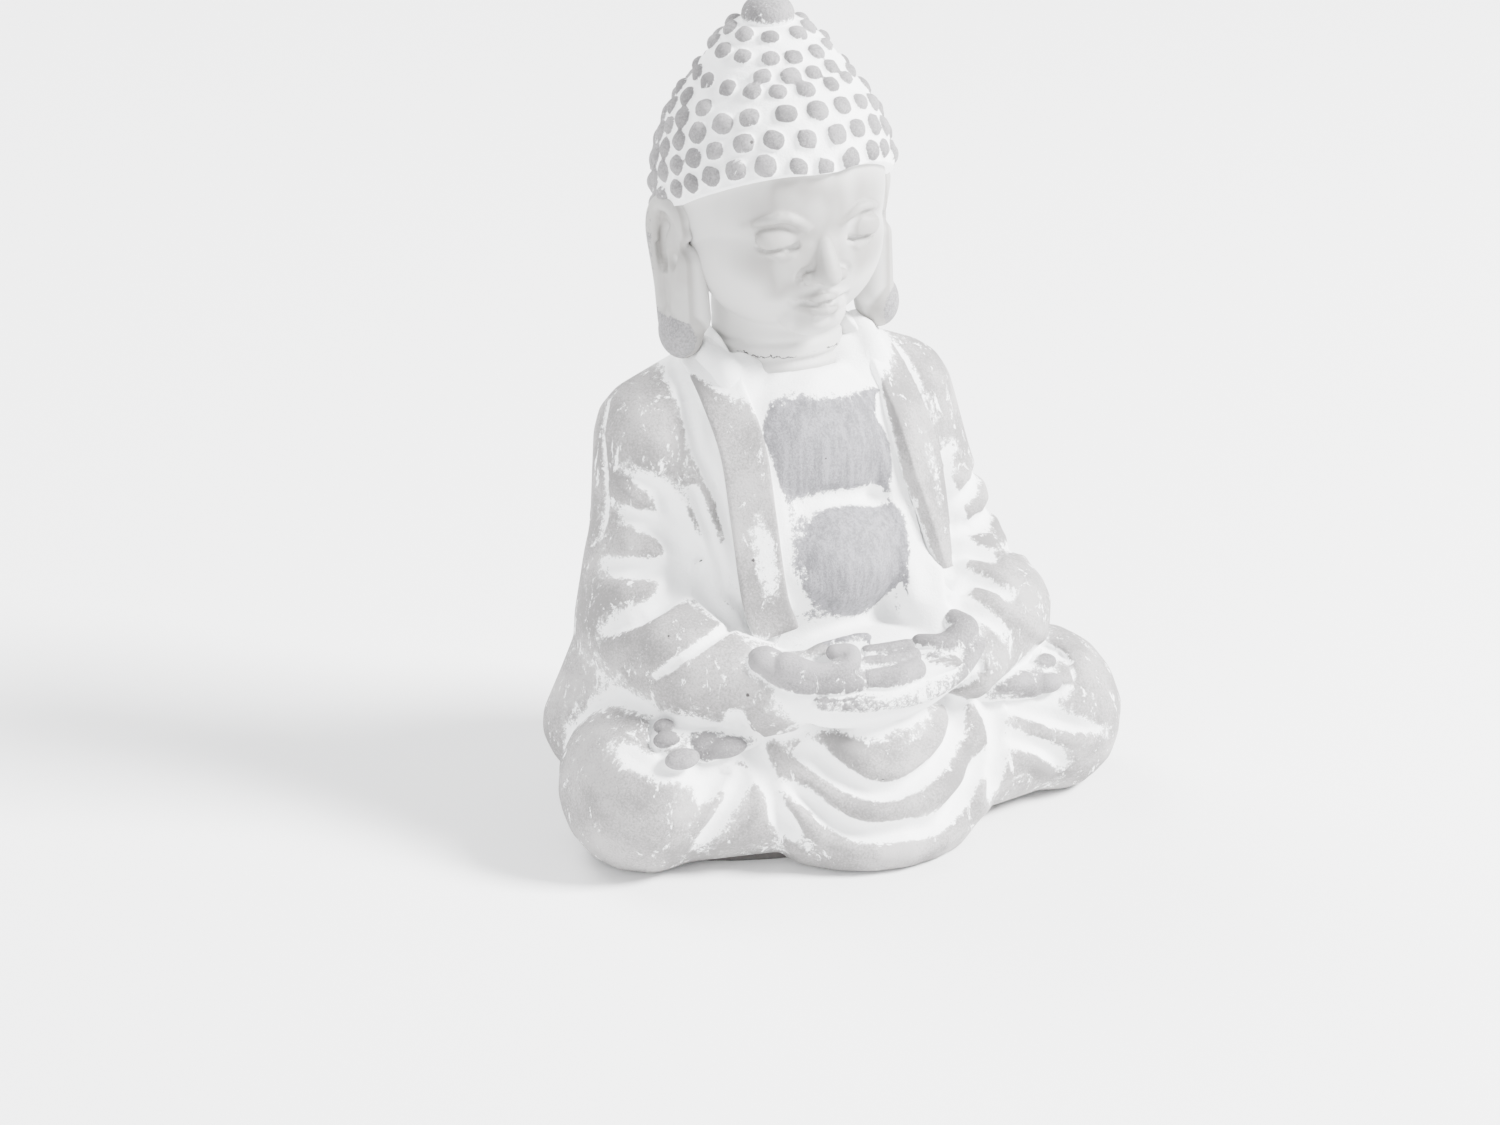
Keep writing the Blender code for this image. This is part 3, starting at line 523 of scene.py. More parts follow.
# %% The head's clay
def head_clay():
    clay = []
    ball(clay, HEAD, HEAD_RADII)
    ball(clay, (0, HEAD.y - 4, HEAD.z - 7), (13.6, 12.4, 12.8))
    ball(clay, (0, FRONT_Y + 4.6, CHIN_Z + 3.6), (5.0, 4.2, 3.6))
    limb(clay, [(0, HEAD.y, HEAD.z - 8), (0, HEAD.y - 1.5, NECK.z - 5)], [9, 9.2])
    limb(clay, [(0, FRONT_Y + 1.9, BROW_Z - 0.6), (0, FRONT_Y + 0.6, EYE_Z - 1),
                (0, FRONT_Y - 1.1, NOSE_Z + 1.7)], [1.2, 1.25, 1.75])
    ball(clay, (0, FRONT_Y - 1.2, NOSE_Z + 1.3), (1.7, 1.7, 1.4))
    for wing, in both_sides((0.36 * EYE, FRONT_Y + 0.5, NOSE_Z + 1.0)):
        ball(clay, wing, (1.35, 1.5, 1.15))
    for lid, in both_sides((EYE, FRONT_Y + 2.6, EYE_Z + 0.5)):
        ball(clay, lid, (0.56 * EYE, 1.9, 2.3))
    for brow in both_sides((0.35 * EYE, FRONT_Y + 1.3, BROW_Z - 0.5),
                           (EYE, FRONT_Y + 1.9, BROW_Z + 0.9),
                           (1.65 * EYE, FRONT_Y + 5.2, BROW_Z - 0.6)):
        limb(clay, brow, [0.9, 1.2, 0.9])
    for z, thick, half in ((MOUTH_Z + 0.8, 0.9, 3.8), (MOUTH_Z - 0.9, 1.1, 3.2)):
        limb(clay, [(-half, FRONT_Y + 2.2, z), (0, FRONT_Y + 0.7, z), (half, FRONT_Y + 2.2, z)],
             [0.6 * thick, thick, 0.6 * thick], flat=(1.2, 1.3, 1))
    return clay


face = cast("head_and_neck", head_clay(), voxel=0.3, smooth=11)

# %% Lids, lips and brow lines
for side in (1, -1):
    lash = [(side * 0.52 * EYE, FRONT_Y + 2, EYE_Z - 0.5), (side * EYE, FRONT_Y + 1, EYE_Z - 1.2),
            (side * 1.48 * EYE, FRONT_Y + 3.5, EYE_Z - 0.3)]
    face.stroke(lash, 0.55, -1.0, 0.0, 1, ends=(0.1, 0.15), sharp=1.1)
    face.stroke(moved(lash, dz=-0.9), 0.7, 0.25, 0, 1, ends=(0.2, 0.2))
    above = [(x, y, z + rise) for (x, y, z), rise in zip(lash, (1.8, 3.9, 1.8))]
    face.stroke(above, 1.0, -0.3, 0, 1)
    brow = [(side * 0.3 * EYE, FRONT_Y + 1, BROW_Z - 1.0), (side * EYE, FRONT_Y, BROW_Z + 1.1),
            (side * 1.6 * EYE, FRONT_Y + 4, BROW_Z - 0.4)]
    face.stroke(brow, 0.9, 0.45, 0, 1, sharp=1.3)
    wing = [(side * 0.3 * EYE, FRONT_Y, NOSE_Z + 2.6),
            (side * 0.58 * EYE, FRONT_Y + 1, NOSE_Z + 1.3),
            (side * 0.4 * EYE, FRONT_Y + 1, NOSE_Z + 0.1)]
    face.stroke(wing, 0.7, -0.5, 0, 1)
    face.spot((side * 0.2 * EYE, FRONT_Y - 0.6, NOSE_Z - 0.3), 0.6, -0.5)
    face.spot((side * 3.9, FRONT_Y + 2.4, MOUTH_Z), 0.9, -0.3)
face.write()
face.stroke([(-3.7, FRONT_Y + 2, MOUTH_Z + 0.3), (-1.4, FRONT_Y, MOUTH_Z - 0.15),
             (0, FRONT_Y, MOUTH_Z + 0.05), (1.4, FRONT_Y, MOUTH_Z - 0.15),
             (3.7, FRONT_Y + 2, MOUTH_Z + 0.3)], 0.5, -0.7, 0.0, 1, ends=(0.12, 0.12), sharp=1.1)
face.stroke([(0, FRONT_Y, NOSE_Z - 0.2), (0, FRONT_Y, MOUTH_Z + 1.5)], 0.7, -0.3)
face.stroke([(-2, FRONT_Y, MOUTH_Z - 2.3), (0, FRONT_Y, MOUTH_Z - 2.6),
             (2, FRONT_Y, MOUTH_Z - 2.3)], 1.1, -0.4)
face.write()
for z, depth in ((NECK.z + 4.4, 0.35), (NECK.z + 1.6, 0.5)):
    ring = [(9.4 * math.sin(turn), NECK.y - 1 - 9.4 * math.cos(turn), z + 0.8 * math.cos(turn))
            for turn in np.linspace(-1.9, 1.9, 9)]
    face.stroke(ring, 0.7, -depth, 0.2, 2, ends=(0.1, 0.1), sharp=1.3)
face.write()

# %% Trim the head's foot flat
def cut_flat(piece, point, normal):
    """Removes what lies behind a plane and closes the cut."""
    bm = bmesh.new()
    bm.from_mesh(piece.data)
    everything = bm.verts[:] + bm.edges[:] + bm.faces[:]
    bmesh.ops.bisect_plane(bm, geom=everything, plane_co=Vector(point) * MM, plane_no=normal,
                           clear_inner=True, dist=1e-7)
    bmesh.ops.holes_fill(bm, edges=[edge for edge in bm.edges if edge.is_boundary])
    bm.to_mesh(piece.data)
    bm.free()
    piece.data.update()


# %% [markdown]
# ## Ears
#
# An ear seen from the side is a rim that curls round a hollow, with a long, heavy lobe below.

# %% Ears
EAR_LOW, EAR_HIGH = (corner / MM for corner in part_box("ear_left"))


def ear(side):
    """The rim, the inner fold and the lobe of one ear."""
    top, low = EAR_HIGH.z, EAR_LOW.z

    def at(out, back, z):
        """A point so far out from the side of the head, and so far behind its middle."""
        return side * (HEAD_RADII.x - 0.2 + out), HEAD.y - 0.2 + back, z

    clay = []
    limb(clay, [at(0, 0, top - 3), at(0.6, 0, top - 10), at(0.4, -1, low + 4)], [2.6, 2.0, 2.2],
         flat=(0.6, 1.35, 1))
    limb(clay, [at(0, -3.0, top - 5), at(1.2, -1.4, top - 1.4), at(1.9, 1.8, top - 1.4),
                at(2.2, 3.0, top - 5), at(1.9, 1.9, top - 11), at(1.5, 0.6, low + 5)],
         [0.9, 1.1, 1.2, 1.1, 1.0, 1.2])
    ball(clay, at(0.2, -1.6, low + 3.9), (3.1, 3.8, 4.0))
    limb(clay, [at(-0.6, -2.6, top - 9), at(-0.8, -2.8, low + 6)], [2.4, 2.8])
    surface = cast("ear_left_cast" if side > 0 else "ear_right_cast", clay, smooth=9)
    surface.stroke([at(2, -0.5, top - 3), at(2, 1.2, top - 6), at(2, 0, top - 11)],
                   1.2, -1.1, 0.2, 1.3)
    surface.spot(at(2, -1.8, top - 8.5), 1.8, -0.9, 0.4)
    surface.stroke([at(3, -3, low + 6.5), at(3, 1.5, low + 6.8)], 1.0, -0.3, 0.3, 1.3)
    surface.spot(at(3, -1.2, low + 3.2), 4.8, 0.0, -1.6, sharp=1.0)
    surface.spot(at(0.7, -4.4, low + 3.2), 4.2, 0.0, -1.6, sharp=1.0)
    surface.write()
    return surface


ears = {"ear_right": ear(-1), "ear_left": ear(1)}

# %% [markdown]
# ## Hair
#
# The hair is a dome set with rows of small buttons, and a crown of the same buttons that
# closes in a knob. Real buttons were pressed in by hand: no two have the same size, and the
# rows wander. Each is a squashed ball, and the remesh welds it to the dome. Their height over
# the bare dome is measured afterwards, because the rubbed grey follows it exactly.

# %% Buttons in rows
HAIR_RADII = HEAD_RADII + Vector((HAIR_THICK,) * 3)
HAIR = HEAD - Vector((0, 0, 1))
CROWN_LOW, CROWN_HIGH = (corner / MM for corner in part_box("crown"))
FINIAL_LOW, FINIAL_HIGH = (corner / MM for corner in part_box("crown_finial"))
CROWN_FOOT = CROWN_LOW.z
CROWN_TALL = CROWN_HIGH.z - CROWN_FOOT
CROWN_HALF = (CROWN_HIGH.x - CROWN_LOW.x) / 2 - 0.6
CROWN_LEAN = 0.26
PITCH = 3.9
ROW_STEP = math.radians(10.6)
BUTTON = 1.68
BUTTON_RISE = 1.2
chance = random.Random(7)


PEAK = math.radians(4.5)
ROW_AXIS = Vector((0, -HAIR_SLOPE, 1)).normalized()
ROW_FRONT = Vector((0, -ROW_AXIS.z, ROW_AXIS.y))


def on_dome(turn, down):
    """The point of the hair's dome at a turn round the rows' axis and an angle down from it.
    The rows dip to a soft peak over the middle of the forehead."""
    down += PEAK * math.exp(-(math.remainder(turn, math.tau) / 0.45) ** 2)
    round_axis = Vector((math.sin(turn), 0, 0)) + ROW_FRONT * math.cos(turn)
    way = ROW_AXIS * math.cos(down) + round_axis * math.sin(down)
    return HAIR + way / Vector([w / r for w, r in zip(way, HAIR_RADII)]).length


def crown_radius(rise):
    return CROWN_HALF * (1 - 0.48 * min(1, max(0, rise / CROWN_TALL)) ** 1.9)


def on_crown(turn, share):
    """A point of the crown, which leans back as it rises."""
    rise = CROWN_TALL * share
    out = Vector((math.sin(turn), -math.cos(turn), 0)) * crown_radius(rise)
    return Vector((0, HEAD.y + CROWN_LEAN * rise, CROWN_FOOT + rise)) + out


def bare_hair():
    clay = []
    ball(clay, HAIR, HAIR_RADII)
    slices = 13
    for k in range(slices):
        rise = CROWN_TALL * k / (slices - 1)
        radius = crown_radius(rise)
        centre = (0, HEAD.y + CROWN_LEAN * rise, CROWN_FOOT + rise - 1.4)
        ball(clay, centre, (radius, radius, 1.8))
    return clay


def ring_places(point_at, level, shift):
    """Places about a pitch apart round one row, a little out of line."""
    ring = [point_at(math.tau * k / 60, level) for k in range(60)]
    length = sum((a - b).length for a, b in zip(ring, ring[1:] + ring[:1]))
    count = max(4, round(length / PITCH))
    return [point_at(math.tau * (k + shift + chance.uniform(-0.1, 0.1)) / count, level)
            for k in range(count)]


def buttons(bare):
    """The hairline row first, then the crown's rows, then the rest wherever there is room."""
    tree = BVHTree.FromObject(bare, bpy.context.evaluated_depsgraph_get())
    first = math.radians(87.5)
    rows = [(0, 1, ring_places(on_dome, first, 0.0))]
    crown_rows = ((0.12, 0), (0.40, 0.5), (0.68, 0), (0.97, 0.5))
    rows += [(0.62, 0.9, ring_places(on_crown, level, shift)) for level, shift in crown_rows]
    rows += [(0.64 if k < 3 else 0.78, 1, ring_places(on_dome, first - ROW_STEP * k, 0.5 * (k % 2)))
             for k in range(1, 9)]
    clay, taken = [], []
    for room, scale, row in rows:
        for spot in row:
            place, outward, _, _ = tree.find_nearest(spot * MM)
            place = place / MM
            crowded = any((place - other).length < room * PITCH for other in taken)
            if crowded or (place - spot).length > 2:
                continue
            taken.append(place)
            size = BUTTON * scale * chance.uniform(0.88, 1.08)
            radii = (size, size * chance.uniform(0.82, 0.95),
                     BUTTON_RISE * chance.uniform(0.85, 1.1))
            level = Vector((0, 0, 1)).cross(outward).normalized()
            upright = Matrix((level, outward.cross(level), outward)).transposed()
            turn = upright @ Matrix.Rotation(chance.uniform(-0.35, 0.35), 3, "Z")
            ball(clay, place - outward * 0.15, radii, turn)
            block = Matrix.Translation(place * MM) @ turn.to_4x4()
            half = Vector((1.42 * size, 1.3 * size, 1.3)) * MM
            clay.append(("block", block @ Matrix.Diagonal((*half, 1))))
    print("buttons:", len(taken))
    return clay


bare_piece = cast("hair_bare", bare_hair(), 0.5, 6).piece
hair_piece = cast("hair", bare_hair() + buttons(bare_piece), 0.268, 6).piece
cut_flat(hair_piece, (0, FRONT_Y, HAIRLINE_Z - 0.9), ROW_AXIS)
for vert in hair_piece.data.vertices:
    x, y, z = vert.co / MM
    low = max(0, 1 - max(0, z - HAIRLINE_Z + 1.2) / 6) * (y < HEAD.y - 8)
    vert.co.z -= 1.3 * MM * low * math.exp(-(x / 5) ** 2)
print("hair", len(hair_piece.data.polygons), "faces")

# %% The knob on top
def knob_clay():
    middle = (FINIAL_LOW + FINIAL_HIGH) / 2
    half = (FINIAL_HIGH.x - FINIAL_LOW.x) / 2
    clay = []
    tall = FINIAL_HIGH.z - FINIAL_LOW.z
    ball(clay, (middle.x, middle.y, FINIAL_LOW.z + 0.2), (half, half, tall - 0.4))
    return clay


knob = cast("knob", knob_clay(), smooth=3)

# %% [markdown]
# ## Lapels
#
# The open edges of the robe are turned over into two flat bands. Their edges are crisp, so
# they are made of blocks and not of balls.

# %% Lapels


def lapel(side):
    """One band, from beside the neck over the chest and down to the hands."""
    line = [(side * 10.5, 13, 66.5), (side * 11.4, 7.5, 66.4), (side * 11.8 + 0.2, 1.4, 63.2),
            (side * 12.2 + 1.2, -3.8, 56.5), (side * 12.9 + 2.0, -7.2, 47),
            (side * 13.2 + 2.6, -10, 37)]
    if side < 0:
        line.append((-9.8, -12, 32.5))
    clay = []
    bar(clay, moved(line, side * 0.5, 0.8), 6.4, 2.8, (0.45 * side, -1, 0.4),
        taper=0.35 if side > 0 else 0)
    return cast("lapel_left_band" if side > 0 else "lapel_right_band", clay, 0.3, 10, wash=-0.12)


lapels = {"lapel_right": lapel(-1), "lapel_left": lapel(1)}
lapels["lapel_right"].stroke([(-12, -8, 50), (-11, -10, 43), (-10.5, -12, 37)],
                             2.2, -0.1, 0.38, 1.2)
lapels["lapel_left"].stroke([(16, -4, 58), (17, -8, 48), (17, -10, 42)], 1.6, -0.1, 0.3, 1.2)

# %% [markdown]
# ## Hands
#
# The hands lie palm up, the right one on the left. The palms make one long, shallow bowl. The
# thumbs rise at its two ends and bend towards each other, and the fingers of the left hand
# show in the middle as ridges.

# %% Hands
def right_hand():
    """The upper hand: its palm, its thumb bent inwards, and the fingers under it."""
    clay = []
    limb(clay, [(-14, -15.5, 30.5), (-11, -18, 28.8), (-5, -20.5, 28.0), (1, -20.6, 27.8)],
         [2.6, 2.9, 2.7, 2.2], flat=(1, 1.05, 0.8))
    limb(clay, [(-12, -18, 30.2), (-8.5, -20.4, 29.4), (-4.5, -21.2, 30.0), (-3.2, -20, 31.4),
                (-5.2, -19, 31.6)], [2.2, 1.9, 1.6, 1.45, 1.2])
    return clay


def left_hand():
    """The lower hand: the bowl of the palm, four fingers and the thumb at the far end."""
    clay = []
    limb(clay, [(-8, -21, 25.6), (-2, -22.4, 25.2), (6, -22, 25), (12, -20.2, 26), (16.5, -17, 28)],
         [1.9, 2.2, 2.4, 2.4, 2.6], flat=(1, 1.05, 0.75))
    fingers = [[(5.6, -21.9, 28.2), (2, -22.6, 28.0), (-1.4, -22.2, 28.2)],
               [(6.2, -20.2, 29.4), (2.5, -20.6, 29.4), (-1.0, -20.2, 29.6)],
               [(6.2, -18.6, 30.2), (2.8, -18.8, 30.4), (0, -18.4, 30.6)]]
    for finger, thick in zip(fingers, (1.75, 1.3, 1.1)):
        limb(clay, finger, [thick, thick, 0.8 * thick])
    limb(clay, [(15.5, -14.5, 30.5), (16.2, -16.4, 29.8), (12.6, -17.8, 28.8), (9.2, -16.4, 29.4)],
         [1.9, 2.2, 1.9, 1.2])
    limb(clay, [(17, -15, 28.5), (13, -18, 27), (7, -20.6, 26.5)], [2.4, 2.4, 2.0])
    return clay


hands = {"hand_right": cast("hand_right_cast", right_hand(), wash=-0.1),
         "hand_left": cast("hand_left_cast", left_hand(), wash=-0.05)}
rim = [(-9, -22, 25), (0, -24.5, 25), (8, -24, 25), (15, -20, 27)]
hands["hand_left"].stroke(rim, 2.4, 0, 0.5, 1.2, ends=(0, 0.2))

# %% [markdown]
# ## Feet
#
# Only a few toes come out of the folds on each knee, like pebbles beside each other.

# %% Feet
TOES = {-1: [((-20, -15.2, 18.6), (3.4, 1.9, 1.5)), ((-26.8, -16.2, 18.6), (2.6, 1.6, 1.5)),
             ((-27.6, -12.8, 20.2), (2.0, 1.5, 1.2)), ((-27, -10.6, 21.2), (1.6, 1.3, 1.1))],
        1: [((25, -14.6, 19.6), (3.4, 2.0, 1.6)), ((30.4, -15.0, 18.6), (2.2, 1.6, 1.5)),
            ((30.8, -12.4, 20.6), (2.2, 1.5, 1.3)), ((30.2, -9.9, 21.6), (1.8, 1.4, 1.1))]}


def foot(side):
    """The sole, sunk in the lap, and the toes that stand out of it."""
    clay = []
    middle = 3
    limb(clay, [(side * 16 + middle, -11, 18.4), (side * 25 + middle, -12.5, 18.4)], [3.2, 3.6],
         flat=(1, 1, 0.7))
    for place, radii in TOES[side]:
        ball(clay, place, radii)
    return clay


feet = {"foot_right": cast("foot_right_cast", foot(-1), wash=-0.1),
        "foot_left": cast("foot_left_cast", foot(1), wash=-0.1)}

# %% [markdown]
# ## Hidden pieces
#
# A steel pin holds the head on the body, and a felt pad protects the shelf. Both are turned
# shapes: a pin with chamfered ends, and a thin disc with a soft edge.

# %% Dowel and pad
def rounded_disc(name, node, edge, segments):
    """A cylinder in the box of a node, with its rim bevelled."""
    low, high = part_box(node)
    size = high - low
    bm = bmesh.new()
    place = Matrix.Translation((low + high) / 2) @ Matrix.Diagonal((1, size.y / size.x, 1, 1))
    bmesh.ops.create_cone(bm, cap_ends=True, segments=segments, radius1=size.x / 2,
                          radius2=size.x / 2, depth=size.z, matrix=place)
    rims = [e for e in bm.edges if len(e.link_faces) == 2 and e.calc_face_angle() > 1]
    bmesh.ops.bevel(bm, geom=rims, offset=edge * MM, offset_type="OFFSET", segments=3,
                    profile=0.5, affect="EDGES", material=-1)
    mesh = mesh_of(bm, name)
    mesh.shade_smooth()
    mesh.set_sharp_from_angle(angle=math.radians(35))
    return new_piece(name, mesh)


dowel = rounded_disc("neck_pin", "neck_dowel", 0.6, 48)
pad = rounded_disc("felt_pad", "base_pad", 0.3, 96)

# %% [markdown]
# ## How hollow is each point?
#
# A brushful of wash collects in hollows and is rubbed off whatever stands out, across pieces
# too: the robe beside a lapel is white because the lapel shelters it. So the whole figure is
# put in a grid of small cells that say how full of cement they are, and the grid is blurred.
# At a flat place half of what lies around a point is cement. In a hollow it is more, and on a
# ridge it is less. Two blurs are kept, one for creases and one for broad forms.

# %% A grid of cement
CELL = 0.45
MARGIN = 6
CREASE_REACH = 0.8
FORM_REACH = 2.4
corner = np.array(cad_box[0]) / MM - MARGIN
grid_size = np.ceil((np.array(cad_box[1]) / MM + MARGIN - corner) / CELL).astype(int)


def fill_grid(grid, mesh):
    """Adds each face's share of its column. Summed from the top down, they give the inside."""
    mesh.calc_loop_triangles()
    place = rows_of(mesh.vertices, "co")
    corners = rows_of(mesh.loop_triangles, "vertices", np.int32)
    a, b, c = (place[corners[:, k]] / MM for k in range(3))
    upward = ((b - a)[:, 0] * (c - a)[:, 1] - (b - a)[:, 1] * (c - a)[:, 0]) / 2
    spot = ((a + b + c) / 3 - corner) / CELL - 0.5
    base = np.floor(spot).astype(int)
    part = spot - base
    for dx in (0, 1):
        for dy in (0, 1):
            share = np.abs(1 - dx - part[:, 0]) * np.abs(1 - dy - part[:, 1])
            cell = ((base[:, 0] + dx) * grid_size[1] + base[:, 1] + dy) * grid_size[2] + base[:, 2]
            grid += np.bincount(cell, upward * share / CELL**2, grid.size)


def blurred(grid, reach):
    """The grid smoothed along its three axes."""
    half = math.ceil(2.5 * reach / CELL)
    steps = np.arange(-half, half + 1)
    weights = np.exp(-0.5 * (steps * CELL / reach) ** 2)
    weights /= weights.sum()
    for axis in range(3):
        grid = sum(weight * np.roll(grid, step, axis) for weight, step in zip(weights, steps))
    return grid


def sampled(grid, place):
    """The grid's value at each place, mixed from the eight cells round it."""
    spot = np.clip((place / MM - corner) / CELL - 0.5, 0, grid_size - 2.01)
    base = spot.astype(int)
    part = spot - base
    total = 0
    for step in np.ndindex(2, 2, 2):
        share = np.prod(np.abs(1 - np.array(step) - part), axis=1)
        at = base + step
        total = total + share * grid[at[:, 0], at[:, 1], at[:, 2]]
    return total


surfaces = {"robe": robe, "head": face, **ears, "hair": Surface(hair_piece), "crown_finial": knob,
            **lapels, **hands, **feet}
full = np.zeros(int(np.prod(grid_size)))
for surface in surfaces.values():
    grid = np.zeros_like(full)
    fill_grid(grid, surface.piece.data)
    grid = grid.reshape(grid_size)[:, :, ::-1].cumsum(axis=2)[:, :, ::-1]
    full = np.maximum(full, np.clip(grid, 0, 1).ravel())
full = full.reshape(grid_size)
creases, forms = blurred(full, CREASE_REACH), blurred(full, FORM_REACH)
print("grid", tuple(grid_size), "cement", round(float(full.sum()) * CELL**3 / 1000, 1), "cm3")

# %% [markdown]
# ## Where the wash stays
#
# The wash on each point is the sum of a start value, how hollow it is on both scales, and what
# the strokes left there. A value over one half is white. The start value differs from piece
# to piece, because some places were rubbed harder.

# %% Wash on each piece
def set_attribute(mesh, name, values):
    layer = mesh.attributes.get(name) or mesh.attributes.new(name, "FLOAT", "POINT")
    layer.data.foreach_set("value", np.asarray(values, np.float32))


START = dict.fromkeys(surfaces, 0.42)
START.update(robe=0.36, head=1.3, ear_right=1.1, ear_left=1.1, hair=0.5)
for name, surface in surfaces.items():
    crease = sampled(creases, surface.place) - 0.5
    form = sampled(forms, surface.place) - 0.5
    surface.wash = START[name] + 1.6 * crease + 1.3 * form + surface.wash
    set_attribute(surface.piece.data, "wash", surface.wash)
    set_attribute(surface.piece.data, "crease", crease + 0.5)
    print(name, "white over", round(100 * float((surface.wash > 0.5).mean())), "% of its points")


def height_above(piece, bare):
    """How far each vertex stands over another surface, in millimetres."""
    tree = BVHTree.FromObject(bare, bpy.context.evaluated_depsgraph_get())
    found = []
    for vert in piece.data.vertices:
        place, normal, _, _ = tree.find_nearest(vert.co)
        found.append((vert.co - place).dot(normal) / MM)
    return np.array(found)


set_attribute(hair_piece.data, "relief", height_above(hair_piece, bare_piece))
bpy.data.objects.remove(bare_piece)

# %% [markdown]
# ## Dividing the skin
#
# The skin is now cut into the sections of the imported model. Each face goes to the section
# that lies nearest. A few rounds of voting among neighbours straighten the borders, and every
# piece is closed by a wall to the inside. The pieces keep the normals of the whole skin, so
# the light runs over the borders without a line.

# %% Which section each face belongs to
WALL = 1.2
OWN_VOTE = 1.4


def nearest_sections(mesh, nodes):
    """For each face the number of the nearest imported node."""
    bm = bmesh.new()
    owner = []
    for number, node in enumerate(nodes):
        bm.from_mesh(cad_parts[node].data)
        owner += [number] * (len(bm.faces) - len(owner))
    tree = BVHTree.FromBMesh(bm)
    bm.free()
    return np.array([owner[tree.find_nearest(face.center)[2]] for face in mesh.polygons])


def voted(mesh, labels, count, rounds=8):
    """The labels after each face has taken, some times over, what most of its neighbours say."""
    edge_of = {}
    pairs = []
    for number, face in enumerate(mesh.polygons):
        for key in face.edge_keys:
            if key in edge_of:
                pairs.append((edge_of[key], number))
            edge_of[key] = number
    one, other = np.array(pairs).T
    for _ in range(rounds):
        votes = np.zeros((len(labels), count))
        votes[np.arange(len(labels)), labels] += OWN_VOTE
        np.add.at(votes, (one, labels[other]), 1)
        np.add.at(votes, (other, labels[one]), 1)
        labels = votes.argmax(1)
    return labels


def divided(piece, names, labels):
    """One closed piece for each label, with the whole skin's normals on its outside."""
    mesh = piece.data
    layer = mesh.attributes.new("skin_normal", "FLOAT_VECTOR", "POINT")
    layer.data.foreach_set("vector", rows_of(mesh.vertex_normals, "vector").ravel())
    made = {}
    for number, name in enumerate(names):
        bm = bmesh.new()
        bm.from_mesh(mesh)
        bm.faces.ensure_lookup_table()
        gone = [bm.faces[k] for k in np.flatnonzero(labels != number)]
        bmesh.ops.delete(bm, geom=gone, context="FACES")
        section = new_piece(name, mesh_of(bm, name))
        outside = len(section.data.vertices)
        wall = section.modifiers.new("wall", "SOLIDIFY")
        wall.thickness = WALL * MM
        wall.offset = -1
        applied(section)
        stored = section.data.attributes["skin_normal"]
        normals = rows_of(stored.data, "vector")
        normals[outside:] *= -1
        section.data.shade_smooth()
        section.data.normals_split_custom_set_from_vertices(normals.tolist())
        section.data.attributes.remove(section.data.attributes["skin_normal"])
        made[name] = section
        print(name, len(section.data.polygons), "faces")
    bpy.data.objects.remove(piece)
    return made


labels = voted(skin.data, nearest_sections(skin.data, SKIN_NODES), len(SKIN_NODES))
sections = divided(skin, [node + "_cast" for node in SKIN_NODES], labels)
above_foot = [face.center.z > CROWN_FOOT * MM for face in hair_piece.data.polygons]
hair_sections = divided(hair_piece, ["hair_cap_cast", "crown_cast"],
                        np.array(above_foot).astype(int))
cut_flat(face.piece, (0, 0, NECK.z - 4), (0, 0, 1))

# %% [markdown]
# ## Finishes
#
# All the cement shares three effects, so each is a node group that is built once. **Grain** is
# the sandy roughness of cement with its pinholes. **Ragged edge** breaks the border between
# wash and cement into specks and islands. **Clouds** is the slow change of tone that a rag
# leaves. A group hands out only masks, tones and heights. The shader stays in the material.


# %% Node helpers
def node(tree, kind, inputs=(), **settings):
    """A node with its settings, and its inputs given as values or linked from sockets."""
    made = tree.nodes.new(kind)
    for name, value in settings.items():
        setattr(made, name, value)
    for key, value in dict(inputs).items():
        if isinstance(value, bpy.types.NodeSocket):
            tree.links.new(value, made.inputs[key])
        else:
            made.inputs[key].default_value = value
    return made


def calc(tree, operation, a, b=0.0, c=0.0):
    return node(tree, "ShaderNodeMath", {0: a, 1: b, 2: c}, operation=operation).outputs[0]


def ramp(tree, value, low, high, to_low=0.0, to_high=1.0):
    """value from low..high stretched smoothly to to_low..to_high."""
    made = node(tree, "ShaderNodeMapRange",
                {0: value, 1: low, 2: high, 3: to_low, 4: to_high}, interpolation_type="SMOOTHSTEP")
    return made.outputs[0]


def blend(tree, share, a, b):
    return node(tree, "ShaderNodeMix", {0: share, 6: a, 7: b}, data_type="RGBA").outputs[2]


def noise(tree, vector, scale, detail=3.0, roughness=0.55, distortion=0.0):
    made = node(tree, "ShaderNodeTexNoise", {"Vector": vector, "Scale": scale, "Detail": detail,
                                             "Roughness": roughness, "Distortion": distortion})
    return made.outputs["Fac"]


def millimetres(tree, stretch=(1, 1, 1)):
    """Object coordinates counted in millimetres."""
    coordinates = node(tree, "ShaderNodeTexCoord").outputs["Object"]
    scale = Vector(stretch) / MM
    made = node(tree, "ShaderNodeVectorMath", {0: coordinates, 1: scale}, operation="MULTIPLY")
    return made.outputs[0]


def group(name, inputs, outputs):
    """An empty node group with float sockets, and its input and output nodes."""
    tree = bpy.data.node_groups.new(name, "ShaderNodeTree")
    for socket, value in inputs.items():
        made = tree.interface.new_socket(socket, in_out="INPUT", socket_type="NodeSocketFloat")
        made.default_value = value
    for socket in outputs:
        tree.interface.new_socket(socket, in_out="OUTPUT", socket_type="NodeSocketFloat")
    start, end = tree.nodes.new("NodeGroupInput"), tree.nodes.new("NodeGroupOutput")
    return tree, start, end


